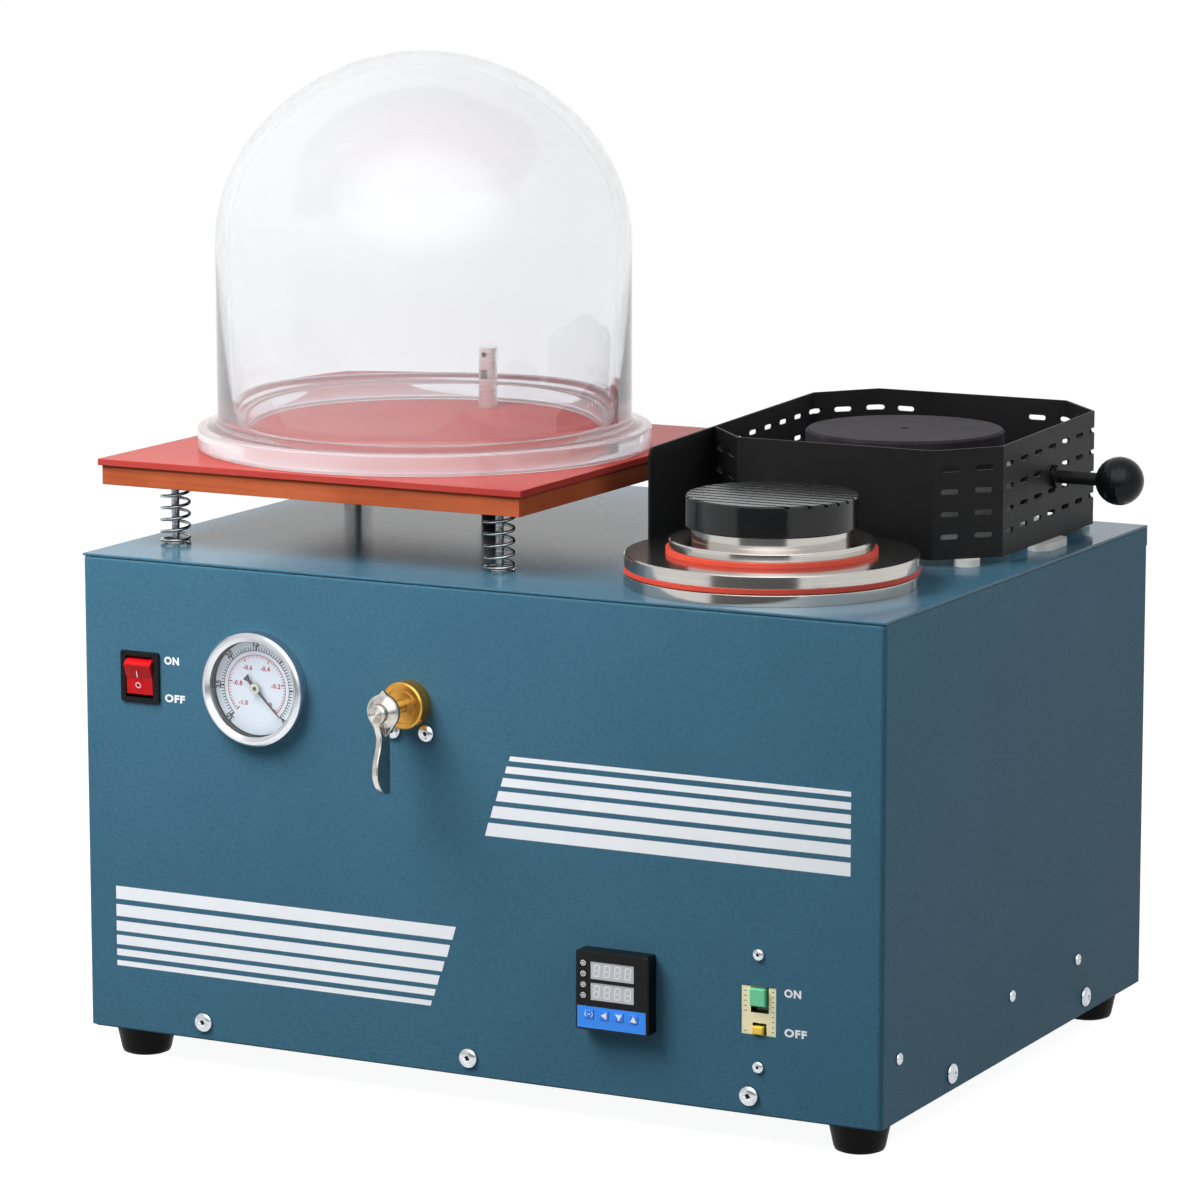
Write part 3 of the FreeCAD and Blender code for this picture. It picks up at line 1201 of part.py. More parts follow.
def gauge_bezel():
    """The rolled stainless ring that holds the lens."""
    side = GAUGE_PROUD - GAUGE_ROLL
    seat = GAUGE_LENS_UP + GAUGE_LENS_THICK
    nose = GAUGE_R - GAUGE_ROLL
    inner = GAUGE_WINDOW_R + GAUGE_LENS_GRIP
    profile = [(GAUGE_WINDOW_R, seat + GAUGE_LIP), (GAUGE_WINDOW_R, seat), (inner, seat), (inner, 0)]
    profile += [(GAUGE_R, 0)] + arc_profile(nose, side, GAUGE_ROLL, 0, 90, ROLL_STEPS)
    return on_front(turned(profile, ORIGIN), GAUGE_FROM_LEFT, GAUGE_UP)


def gauge_dial():
    """The dial plate, with a hole for the needle's spindle."""
    radius = GAUGE_CASE_R - GAUGE_CASE_WALL - 0.1
    shape = ring(ORIGIN, -GAUGE_DIAL_THICK, 0, radius, SPINDLE_R + SPINDLE_FIT)
    return on_front(shape, GAUGE_FROM_LEFT, GAUGE_UP)


def gauge_lens():
    """The flat glass in the bezel."""
    radius = GAUGE_WINDOW_R + GAUGE_LENS_GRIP - HOLE_GAP
    shape = rod(ORIGIN, GAUGE_LENS_UP, GAUGE_LENS_UP + GAUGE_LENS_THICK, radius)
    return on_front(shape, GAUGE_FROM_LEFT, GAUGE_UP)


def gauge_needle():
    """The black needle with its counterweight, hub and spindle, pointing at zero."""
    half = NEEDLE_WIDTH / 2
    tail = NEEDLE_TAIL_WIDTH / 2
    points = [V(NEEDLE_LENGTH, 0.2, NEEDLE_UP), V(0, half, NEEDLE_UP), V(-NEEDLE_TAIL + 3, half, NEEDLE_UP)]
    points += [V(-NEEDLE_TAIL, tail, NEEDLE_UP), V(-NEEDLE_TAIL, -tail, NEEDLE_UP)]
    points += [V(-NEEDLE_TAIL + 3, -half, NEEDLE_UP), V(0, -half, NEEDLE_UP)]
    points.append(V(NEEDLE_LENGTH, -0.2, NEEDLE_UP))
    blade = swept(outline(points), V(0, 0, NEEDLE_THICK))
    hub = rod(ORIGIN, NEEDLE_UP - 0.6, NEEDLE_UP + NEEDLE_THICK + 0.8, NEEDLE_HUB_R)
    spindle = rod(ORIGIN, -GAUGE_DIAL_THICK - SPINDLE_DEPTH, NEEDLE_UP, SPINDLE_R)
    shape = blade.fuse([hub, spindle]).removeSplitter()
    shape.rotate(ORIGIN, UP, NEEDLE_REST_DEG)
    return on_front(shape, GAUGE_FROM_LEFT, GAUGE_UP)


# ---- Three-way valve -----------------------------------------------------------------------------
def valve_collar():
    """The turned brass collar on the front of the panel, with a ring groove in its face."""
    bore = STEM_R + STEM_FIT
    near = COLLAR_GROOVE_R - COLLAR_GROOVE_WIDTH
    deep = COLLAR_PROUD - COLLAR_GROOVE_DEPTH
    profile = [(bore, 0), (COLLAR_R, 0), (COLLAR_R, COLLAR_PROUD - 1), (COLLAR_R - 1, COLLAR_PROUD)]
    profile += [(COLLAR_GROOVE_R, COLLAR_PROUD), (COLLAR_GROOVE_R, deep), (near, deep), (near, COLLAR_PROUD)]
    profile += [(bore, COLLAR_PROUD)]
    return on_front(turned(profile, ORIGIN), VALVE_FROM_LEFT, VALVE_UP)


def port_centre():
    """Depth of the ports' axis behind the panel's face, as a local z."""
    return -(SHEET + VALVE_BODY_DEPTH / 2)


def valve_ports():
    """Start and direction of each port: left to the table, right to the chamber, down to the pump."""
    z = port_centre()
    half = VALVE_BODY_WIDTH / 2
    starts = [(V(-half, 0, z), V(-1, 0, 0)), (V(half, 0, z), V(1, 0, 0))]
    starts.append((V(0, -VALVE_BODY_BELOW, z), V(0, -1, 0)))
    return starts


def valve_body():
    """The brass block behind the panel, with the plug's bore and three hose ports."""
    half = VALVE_BODY_WIDTH / 2
    body = box(-half, -VALVE_BODY_BELOW, -VALVE_BACK, half, VALVE_BODY_ABOVE, -SHEET)
    body = body.makeFillet(2.0, [e for e in body.Edges if abs(e.tangentAt(e.FirstParameter).z) > 0.999])
    seat = -SHEET - PLUG_SEAT
    plug = rod(ORIGIN, seat - PLUG_LENGTH - SEAT_GAP, seat + SEAT_GAP, PLUG_R + STEM_FIT)
    stem = rod(ORIGIN, seat, 0, STEM_R + STEM_FIT)
    cutters = [plug, stem]
    body = body.fuse([Part.makeCylinder(PORT_R, PORT_LENGTH, start, way) for start, way in valve_ports()])
    thread = rod(ORIGIN, -SHEET - VALVE_SCREW_LENGTH, 0, VALVE_SCREW_SHANK_R + HOLE_GAP)
    for side in (-1, 1):
        cutters.append(at(thread, side * VALVE_SCREW_SPREAD / 2, -VALVE_SCREW_DOWN))
    return on_front(body.removeSplitter().cut(cutters), VALVE_FROM_LEFT, VALVE_UP)


def valve_screws():
    """The two screws that hold the valve to the panel."""
    one = screw(VALVE_SCREW_HEAD_R, VALVE_SCREW_HEAD, VALVE_SCREW_SHANK_R, VALVE_SCREW_LENGTH)
    up = VALVE_UP - VALVE_SCREW_DOWN
    return [on_front(one, VALVE_FROM_LEFT + side * VALVE_SCREW_SPREAD / 2, up) for side in (-1, 1)]


def valve_hub():
    """The thin hub plate: a disc with a small nib above and a rounded tail below, and the cone before it."""
    nose_y = HUB_TAIL_R - HUB_TAIL
    slope = math.asin((HUB_TAIL_R - HUB_R) / nose_y)
    way = V(math.cos(slope), -math.sin(slope), 0)
    left = V(-way.x, way.y, 0)
    nose = V(0, nose_y, 0)
    nib_y = math.sqrt(HUB_R**2 - HUB_NIB_HALF**2)
    nib = [V(HUB_NIB_HALF, nib_y, 0), V(0, HUB_NIB, 0), V(-HUB_NIB_HALF, nib_y, 0)]
    edges = chain([nose + way * HUB_TAIL_R, way * HUB_R])
    edges.append(Part.Arc(way * HUB_R, V(HUB_R, 0, 0), nib[0]).toShape())
    edges += chain(nib)
    edges.append(Part.Arc(nib[2], V(-HUB_R, 0, 0), left * HUB_R).toShape())
    edges += chain([left * HUB_R, nose + left * HUB_TAIL_R])
    edges.append(Part.Arc(nose + left * HUB_TAIL_R, V(0, -HUB_TAIL, 0), nose + way * HUB_TAIL_R).toShape())
    plate = at(swept(edges, V(0, 0, HUB_THICK)), 0, 0, HUB_NEAR)
    face = HUB_NEAR + HUB_THICK
    return plate.fuse(Part.makeCone(HUB_CONE_R, BOSS_R, HUB_CONE, V(0, 0, face)))


def lever_front():
    """The lever seen from the front: the boss's circle, flaring in to a narrow blade."""
    half = LEVER_WIDTH / 2
    side = half + LEVER_FLARE
    down = -math.sqrt((BOSS_R + LEVER_FLARE) ** 2 - side**2)
    touch = V(side, down, 0) * (BOSS_R / (BOSS_R + LEVER_FLARE))
    turn = math.atan2(touch.y - down, touch.x - side)
    middle = (turn + math.pi) / 2
    bend = V(side + LEVER_FLARE * math.cos(middle), down + LEVER_FLARE * math.sin(middle), 0)
    edges = []
    for sign in (1, -1):
        points = [V(sign * p.x, p.y, 0) for p in (touch, bend, V(half, down, 0))]
        edges.append(Part.Arc(*points).toShape())
        edges += chain([points[2], V(sign * half, -LEVER_LENGTH - 1, 0)])
    edges += chain([V(half, -LEVER_LENGTH - 1, 0), V(-half, -LEVER_LENGTH - 1, 0)])
    edges.append(Part.Arc(touch, V(0, BOSS_R, 0), V(-touch.x, touch.y, 0)).toShape())
    return at(swept(edges, V(0, 0, LEVER_BELLY_DEPTH + 2)), 0, 0, HUB_NEAR - LEVER_BEHIND - 1)


def lever_side():
    """The lever seen from its side: straight behind, with a narrow neck, a belly in front and a round tip."""
    rear = HUB_NEAR - LEVER_BEHIND
    boss = HUB_NEAR + HUB_THICK + BOSS_LENGTH
    neck = V(0, -LEVER_NECK_DOWN, rear + LEVER_NECK_DEPTH)
    belly = V(0, -LEVER_BELLY_DOWN, rear + LEVER_BELLY_DEPTH)
    tip = V(0, -LEVER_LENGTH, rear + LEVER_TIP)
    reach = V(0, (LEVER_BELLY_DOWN - LEVER_NECK_DOWN) / 2, 0)
    turn = V(0, (LEVER_LENGTH - LEVER_BELLY_DOWN) / 2, 0)
    under = V(0, -LEVER_LENGTH, rear + LEVER_BELLY_DEPTH / 2)
    edges = [bent_edge(neck, neck - reach, belly + reach, belly), bent_edge(belly, belly - turn, under, tip)]
    edges += chain([tip, V(0, -LEVER_LENGTH, rear), V(0, -HUB_TAIL, rear), V(0, -HUB_R, HUB_NEAR)])
    edges += chain([V(0, -HUB_R, HUB_NEAR), V(0, BOSS_R + 1, HUB_NEAR), V(0, BOSS_R + 1, boss)])
    edges += chain([V(0, BOSS_R + 1, boss), V(0, -BOSS_R, boss), neck])
    return at(swept(edges, V(2 * HUB_R, 0, 0)), -HUB_R, 0)


def valve_blade():
    """The boss and the blade as one forging: its front outline and its side outline together."""
    blade = lever_front().common(lever_side())
    face = HUB_NEAR + HUB_THICK + BOSS_LENGTH
    blade = eased(blade, face, BOSS_R, BOSS_EDGE)
    low = [e for e in blade.Edges if e.CenterOfMass.y < -LEVER_NECK_DOWN and e.CenterOfMass.z > HUB_NEAR]
    rims = [e for e in low if abs(abs(e.CenterOfMass.x) - LEVER_WIDTH / 2) < 1e-6]
    return blade.makeFillet(LEVER_SOFT, rims)


def valve_lever():
    """Hub plate, boss, blade, stem and the plug that they turn, as one body."""
    seat = -SHEET - PLUG_SEAT
    stem = rod(ORIGIN, seat - 1, HUB_NEAR + 1, STEM_R)
    plug = rod(ORIGIN, seat - PLUG_LENGTH, seat, PLUG_R)
    shape = valve_hub().fuse([valve_blade(), stem, plug]).removeSplitter()
    return on_front(shape, VALVE_FROM_LEFT, VALVE_UP)


# ---- Temperature controller ----------------------------------------------------------------------
def face_point(from_left, from_top):
    """A place on the controller's face, measured from its upper left corner."""
    half = CONTROLLER_SIZE / 2
    return from_left - half, half - from_top


def face_block(left, top, width, height, z0, z1):
    """A block on the controller's face."""
    x, y = face_point(left, top)
    return box(x, y - height, z0, x + width, y, z1)


def key_block(centre, gap, z0, z1):
    """One key or, with a gap, the opening round it."""
    width = KEY_WIDTH + 2 * gap
    height = KEY_HEIGHT + 2 * gap
    return face_block(centre - width / 2, KEY_TOP - height / 2, width, height, z0, z1)


def controller_x():
    """Distance of the controller's middle from the cabinet's left side."""
    return CABINET_WIDTH - CONTROLLER_FROM_RIGHT


def controller_case():
    """The black case: a square bezel on the panel and the body behind it."""
    size = CONTROLLER_SIZE
    face = CONTROLLER_PROUD
    bezel = rounded_block(size, size, 0, face, 2.0)
    rim = [e for e in bezel.Edges if abs(e.CenterOfMass.z - face) < 1e-6]
    bezel = bezel.makeChamfer(CONTROLLER_EDGE, rim)
    half = CONTROLLER_BODY / 2
    body = box(-half, -half, -CONTROLLER_DEPTH, half, half, 0)
    pockets = []
    for top in DISPLAY_TOPS:
        deep = face - DISPLAY_POCKET
        pockets.append(face_block(DISPLAY_LEFT, top, DISPLAY_WIDTH, DISPLAY_HEIGHT, deep, face + 1))
    pockets.append(face_block(STRIP_LEFT, STRIP_TOP, STRIP_WIDTH, STRIP_HEIGHT, face - STRIP_THICK, face + 1))
    well = face - KEY_DEPTH - KEY_TRAVEL - 1
    pockets += [key_block(x, KEY_GAP, well, face + 1) for x in KEY_CENTRES]
    return on_front(bezel.fuse(body).cut(pockets), controller_x(), CONTROLLER_UP)


def controller_displays():
    """The two grey display windows in their pockets."""
    gap = HOLE_GAP
    z0 = CONTROLLER_PROUD - DISPLAY_POCKET
    z1 = CONTROLLER_PROUD - 0.3
    windows = []
    for top in DISPLAY_TOPS:
        width = DISPLAY_WIDTH - 2 * gap
        window = face_block(DISPLAY_LEFT + gap, top + gap, width, DISPLAY_HEIGHT - 2 * gap, z0, z1)
        windows.append(on_front(window, controller_x(), CONTROLLER_UP))
    return windows


def controller_strip():
    """The blue strip with an opening for each key."""
    z1 = CONTROLLER_PROUD
    z0 = z1 - STRIP_THICK
    gap = HOLE_GAP
    width = STRIP_WIDTH - 2 * gap
    strip = face_block(STRIP_LEFT + gap, STRIP_TOP + gap, width, STRIP_HEIGHT - 2 * gap, z0, z1)
    openings = [key_block(x, KEY_GAP, z0 - 1, z1 + 1) for x in KEY_CENTRES]
    return on_front(strip.cut(openings), controller_x(), CONTROLLER_UP)


def controller_key(centre):
    """One key with softened edges."""
    top = CONTROLLER_PROUD + KEY_PROUD
    key = key_block(centre, 0, CONTROLLER_PROUD - KEY_DEPTH, top)
    rim = [e for e in key.Edges if abs(e.CenterOfMass.z - top) < 1e-6]
    return on_front(key.makeChamfer(0.3, rim), controller_x(), CONTROLLER_UP)


# ---- Breaker -------------------------------------------------------------------------------------
def breaker_x():
    """Distance of the breaker's middle from the cabinet's left side."""
    return CABINET_WIDTH - BREAKER_FROM_RIGHT


def breaker_block(area, z0, z1):
    """A block over an area given as left, bottom, width and height."""
    left, bottom, width, height = area
    return box(left, bottom, z0, left + width, bottom + height, z1)


def breaker_case():
    """The breaker behind the panel, with its nose in the window and a pocket for each button."""
    half_w = BREAKER_CASE_WIDTH / 2
    half_h = BREAKER_CASE_HEIGHT / 2
    body = box(-half_w, -half_h, -SHEET - BREAKER_CASE_DEPTH, half_w, half_h, -SHEET)
    nose_w = BREAKER_WINDOW_WIDTH / 2 - PANEL_GAP
    nose_h = BREAKER_WINDOW_HEIGHT / 2 - PANEL_GAP
    nose = box(-nose_w, -nose_h, -SHEET, nose_w, nose_h, -BREAKER_NOSE_INSET)
    case = body.fuse(nose).removeSplitter()
    cutters = [breaker_block(area, -POCKET_DEPTH, 1) for area in (RESET_POCKET, TEST_POCKET)]
    thread = rod(ORIGIN, -SMALL_SCREW_LENGTH - 1, 0, SMALL_SHANK_R + HOLE_GAP)
    cutters += [at(thread, 0, side * BREAKER_SCREW_UP) for side in (-1, 1)]
    return on_front(case.cut(cutters), breaker_x(), BREAKER_UP)


def breaker_button(area, proud):
    """One button, with softened front edges."""
    button = breaker_block(area, -BUTTON_DEPTH, proud)
    rim = [e for e in button.Edges if abs(e.CenterOfMass.z - proud) < 1e-6]
    return on_front(button.makeFillet(0.7, rim), breaker_x(), BREAKER_UP)


def breaker_screws():
    """The two small screws that hold the breaker."""
    one = screw(SMALL_HEAD_R, SMALL_HEAD_HEIGHT, SMALL_SHANK_R, SMALL_SCREW_LENGTH)
    return [on_front(one, breaker_x(), BREAKER_UP + side * BREAKER_SCREW_UP) for side in (-1, 1)]


# ---- Power inlet ---------------------------------------------------------------------------------
def power_inlet():
    """The three-pin mains inlet in the rear panel."""
    flange = rounded_block(INLET_FLANGE_WIDTH, INLET_FLANGE_HEIGHT, 0, INLET_FLANGE, 3.0)
    half_w = INLET_BODY_WIDTH / 2
    half_h = INLET_BODY_HEIGHT / 2
    body = box(-half_w, -half_h, -INLET_BODY_DEPTH, half_w, half_h, 0)
    in_w = half_w - INLET_WALL
    in_h = half_h - INLET_WALL
    cavity = box(-in_w, -in_h, INLET_FLANGE - INLET_CAVITY_DEPTH, in_w, in_h, INLET_FLANGE + 1)
    screw_hole = rod(ORIGIN, -1, INLET_FLANGE + 1, SMALL_SHANK_R + HOLE_GAP)
    holes = [at(screw_hole, side * INLET_SCREW_SPREAD / 2, 0) for side in (-1, 1)]
    inlet = flange.fuse(body).cut([cavity] + holes)
    floor = INLET_FLANGE - INLET_CAVITY_DEPTH
    pins = []
    for x, y in ((-INLET_PIN_SPREAD, -2.0), (0.0, 2.0), (INLET_PIN_SPREAD, -2.0)):
        pins.append(box(x - 1, y - 2, floor - 1, x + 1, y + 2, INLET_FLANGE - INLET_PIN_RECESS))
    return on_rear(inlet.fuse(pins), INLET_FROM_RIGHT, INLET_UP)


def inlet_screws():
    """The two screws of the power inlet."""
    one = screw(SMALL_HEAD_R, SMALL_HEAD_HEIGHT, SMALL_SHANK_R, SMALL_SCREW_LENGTH)
    one.translate(V(0, 0, INLET_FLANGE))
    return [on_rear(one, INLET_FROM_RIGHT + side * INLET_SCREW_SPREAD / 2, INLET_UP) for side in (-1, 1)]


# ---- Vacuum pump ---------------------------------------------------------------------------------
def pump_middle():
    """x of the pump's axis and y of its oil case's front."""
    return LEFT + PUMP_FROM_LEFT, FRONT + PUMP_FROM_FRONT


def pump_motor():
    """The ribbed motor behind the oil case, with its fan cowl."""
    x, y = pump_middle()
    start = y + OIL_CASE_DEPTH
    inner = MOTOR_R - MOTOR_RIB_DEPTH
    ribbed = MOTOR_LENGTH - COWL_LENGTH
    pitch = ribbed / MOTOR_RIBS
    profile = [(0, 0), (MOTOR_R, 0)]
    for i in range(MOTOR_RIBS):
        z = i * pitch
        profile += [(MOTOR_R, z + pitch / 2), (inner, z + pitch / 2)]
        profile += [(inner, z + pitch - 1), (MOTOR_R, z + pitch - 1)]
    profile += [(MOTOR_R, MOTOR_LENGTH - 6), (MOTOR_R - 6, MOTOR_LENGTH), (0, MOTOR_LENGTH)]
    motor = turned(profile, ORIGIN)
    motor.rotate(ORIGIN, V(1, 0, 0), -90)
    motor.translate(V(x, start, PUMP_BASE + MOTOR_R))
    return motor


def pump_rail():
    """The plate that the pump stands on."""
    x, y = pump_middle()
    half = PUMP_RAIL_WIDTH / 2
    y0 = y - PUMP_RAIL_MARGIN
    y1 = y + OIL_CASE_DEPTH + MOTOR_LENGTH + PUMP_RAIL_MARGIN
    z1 = TRAY_FLOOR + PUMP_FOOT_HEIGHT + PUMP_RAIL_HEIGHT
    return box(x - half, y0, z1 - PUMP_RAIL_HEIGHT, x + half, y1, z1)


def pump_feet():
    """Four rubber mounts between the plate and the tray."""
    x, y = pump_middle()
    half = PUMP_RAIL_WIDTH / 2 - PUMP_FOOT_INSET
    near = y + PUMP_FOOT_INSET
    far = y + OIL_CASE_DEPTH + MOTOR_LENGTH - PUMP_FOOT_INSET
    top = TRAY_FLOOR + PUMP_FOOT_HEIGHT
    places = [V(x + side * half, place, 0) for side in (-1, 1) for place in (near, far)]
    waist = PUMP_FOOT_R - 2
    middle = (TRAY_FLOOR + top) / 2
    profile = [(0, TRAY_FLOOR), (PUMP_FOOT_R, TRAY_FLOOR), (waist, middle), (PUMP_FOOT_R, top), (0, top)]
    return [turned(profile, place) for place in places]


def inlet_places():
    """Where the two hoses meet the inlet block: first the valve's, then the gauge's."""
    x, y = pump_middle()
    row = y + MANIFOLD_FROM_CASE_FRONT
    gauge_x = LEFT + GAUGE_FROM_LEFT
    return V(gauge_x + MANIFOLD_LENGTH / 2, row, 0), V(gauge_x, row, 0)


def pump_oil_case():
    """The pump head in its rounded case, with an inlet block on top for the valve's and the gauge's hoses."""
    x, y = pump_middle()
    across = OIL_CASE_WIDTH / 2
    case = box(x - across, y, PUMP_BASE, x + across, y + OIL_CASE_DEPTH, OIL_CASE_TOP)
    case = case.makeFillet(OIL_CASE_ROUND, upright_edges(case))
    first, second = inlet_places()
    side = MANIFOLD_LENGTH / 4
    half = MANIFOLD_DEPTH / 2
    block = box(second.x - side, first.y - half, OIL_CASE_TOP, first.x + side, first.y + half, MANIFOLD_TOP)
    return case.fuse(block)


# ---- Vacuum hoses --------------------------------------------------------------------------------
def panel_point(from_left, x, y, z):
    """A point of a front fitting's own frame, in the machine's frame, at the valve's height."""
    return V(LEFT + from_left + x, FRONT - z, CABINET_BOTTOM + VALVE_UP + y)


def pump_hose():
    """From the valve's lower port down to the pump's inlet block."""
    first, second = inlet_places()
    start = panel_point(VALVE_FROM_LEFT, 0, -VALVE_BODY_BELOW - PORT_LENGTH, port_centre())
    low = start - V(0, 0, HOSE_BEND + HOSE_RUN)
    return hose([start, low, V(first.x, first.y, low.z), V(first.x, first.y, MANIFOLD_TOP)])


def gauge_hose():
    """From the gauge's stem back and down to the inlet block."""
    first, second = inlet_places()
    start = V(second.x, FRONT + GAUGE_CASE_DEPTH + GAUGE_STEM_LENGTH, CABINET_BOTTOM + GAUGE_UP)
    return hose([start, V(second.x, second.y, start.z), V(second.x, second.y, MANIFOLD_TOP)])


def chamber_hose():
    """From the valve's right port to the pot's port."""
    half = VALVE_BODY_WIDTH / 2
    start = panel_point(VALVE_FROM_LEFT, half + PORT_LENGTH, 0, port_centre())
    end = V(CHAMBER.x - POT_BORE_R - POT_WALL - PORT_LENGTH, CHAMBER.y, pot_port_height())
    turn = (start.x + end.x) / 2
    return hose([start, V(turn, start.y, start.z), V(turn, end.y, end.z), end])


def table_hose_bottom():
    """Height where the table's upright hose starts."""
    return BOARD_BOTTOM - POST_COLLAR_DROP - TABLE_HOSE_LENGTH


def supply_hose():
    """From the valve's left port back under the table, and up to the foot of the table's own hose."""
    half = VALVE_BODY_WIDTH / 2
    start = panel_point(VALVE_FROM_LEFT, -half - PORT_LENGTH, 0, port_centre())
    end = V(POST.x, POST.y, table_hose_bottom())
    low = end.z - HOSE_BEND - HOSE_RUN
    corner = start - V(HOSE_BEND + HOSE_RUN, 0, 0)
    middle = V(corner.x, (start.y + POST.y) / 2, start.z)
    last = V(POST.x, POST.y - 2 * HOSE_BEND - HOSE_RUN, low)
    return hose([start, corner, middle, last, V(POST.x, POST.y, low), end])


def table_hose():
    """The upright hose under the post, which gives when the table shakes."""
    return rod(POST, table_hose_bottom(), BOARD_BOTTOM - POST_COLLAR_DROP, HOSE_R)


# ---- The whole machine ---------------------------------------------------------------------------
def group(shapes):
    """Separate solids kept together in one node."""
    return Part.makeCompound(shapes)


def case_parts():
    """Nodes of the cabinet."""
    parts = {"cabinet_shell": cabinet_shell(), "top_cover": top_cover(), "rear_panel": rear_panel()}
    parts["base_tray"] = base_tray()
    parts["rubber_feet"] = group([at(rubber_foot(), p.x, p.y) for p in FOOT_PLACES])
    parts["foot_screws"] = group([at(foot_screw(), p.x, p.y) for p in FOOT_PLACES])
    parts["large_screws"] = group(large_case_screws())
    parts["small_screws"] = group(small_case_screws() + inlet_screws() + breaker_screws())
    parts["power_inlet"] = power_inlet()
    return parts


def table_parts():
    """Nodes of the investing table and its bell jar."""
    parts = {"table_board": table_board(), "table_pad": table_pad(), "vacuum_post": vacuum_post()}
    parts["guide_bolts"] = group(guide_bolts())
    parts["guide_bushes"] = group(guide_bushes())
    parts["table_springs"] = group([at(table_spring(), p.x, p.y, CABINET_TOP) for p in SPRING_PLACES])
    parts["bell_jar"] = bell_jar()
    return parts


def chamber_parts():
    """Nodes of the casting chamber."""
    parts = {"chamber_pot": chamber_pot(), "chamber_flange": chamber_flange()}
    parts["lower_gasket"] = ring(CHAMBER, FLANGE_TOP, ADAPTER_BOTTOM, CHAMBER_FLANGE_R, LOWER_GASKET_BORE_R)
    parts["adapter_plate"] = adapter_plate()
    parts["upper_gasket"] = ring(CHAMBER, ADAPTER_TOP, FLASK_RING_BOTTOM, UPPER_GASKET_R, UPPER_GASKET_BORE_R)
    parts["flask_ring"] = flask_ring()
    parts["chamber_cover"] = chamber_cover()
    return parts


def furnace_parts():
    """Nodes of the furnace and its guard."""
    parts = {"furnace_can": group(furnace_can()), "furnace_lining": furnace_lining()}
    parts["furnace_heater"] = furnace_heater()
    parts["crucible"] = crucible()
    parts["furnace_lid"] = furnace_lid()
    parts["guard_sheet"] = guard_sheet()
    parts["guard_spacers"] = group(guard_spacers())
    parts["guard_handle"] = guard_handle()
    parts["guard_ball"] = guard_ball()
    return parts


def panel_parts():
    """Nodes of the front panel's fittings."""
    parts = {"rocker_housing": rocker_housing(), "rocker": rocker()}
    parts.update({"gauge_case": gauge_case(), "gauge_bezel": gauge_bezel(), "gauge_dial": gauge_dial()})
    parts.update({"gauge_lens": gauge_lens(), "gauge_needle": gauge_needle()})
    parts.update({"valve_body": valve_body(), "valve_collar": valve_collar(), "valve_lever": valve_lever()})
    parts["valve_screws"] = group(valve_screws())
    parts["controller_case"] = controller_case()
    parts["controller_displays"] = group(controller_displays())
    parts["controller_strip"] = controller_strip()
    for name, centre in zip(KEY_NAMES, KEY_CENTRES):
        parts[name] = controller_key(centre)
    parts["breaker_case"] = breaker_case()
    parts["breaker_reset"] = breaker_button(RESET_BUTTON, RESET_PROUD)
    parts["breaker_test"] = breaker_button(TEST_BUTTON, TEST_PROUD)
    return parts


def vacuum_parts():
    """Nodes of the pump and its hoses."""
    parts = {"pump_oil_case": pump_oil_case(), "pump_motor": pump_motor(), "pump_rail": pump_rail()}
    parts["pump_feet"] = group(pump_feet())
    parts["fixed_hoses"] = group([pump_hose(), gauge_hose(), chamber_hose(), supply_hose()])
    parts["table_hose"] = table_hose()
    return parts


def footprint_middle():
    """Middle of the rectangle that the whole machine covers."""
    pad = BOARD_WIDTH / 2 + PAD_OVERHANG
    x0 = min(LEFT, TABLE.x - pad)
    x1 = max(RIGHT, handle_axis().x + BALL_REACH + BALL_R)
    y0 = FRONT - (HUB_NEAR - LEVER_BEHIND + LEVER_BELLY_DEPTH)
    y1 = BACK + INLET_FLANGE + SMALL_HEAD_HEIGHT
    return V((x0 + x1) / 2, (y0 + y1) / 2, 0)


def write_parts():
    """Write one STEP file per node, about the footprint's middle."""
    os.makedirs("parts", exist_ok=True)
    parts = {}
    for section in (case_parts, table_parts, chamber_parts, furnace_parts, panel_parts, vacuum_parts):
        parts.update(section())
    middle = footprint_middle()
    for name, shape in parts.items():
        shape.translate(V(-middle.x, -middle.y, 0))
        shape.exportStep("parts/" + name + ".step")
    print(len(parts), "nodes, footprint middle", round(middle.x, 3), round(middle.y, 3))


write_parts()
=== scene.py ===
"""Looks of a jewelry vacuum casting machine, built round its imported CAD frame.

The CAD nodes carry the shape. Each sub-assembly's class gives its nodes their finishes and adds what is too
fine for the frame: printed marks, dial graphics, screw recesses, wound springs and a smooth bell jar. The
studio class sets the floor, the lights and the camera. Sizes are in millimetres, places in the frame's axes:
x right, y back, z up.
"""

import logging
import math
from abc import ABC, abstractmethod
from dataclasses import dataclass, replace
from enum import Enum

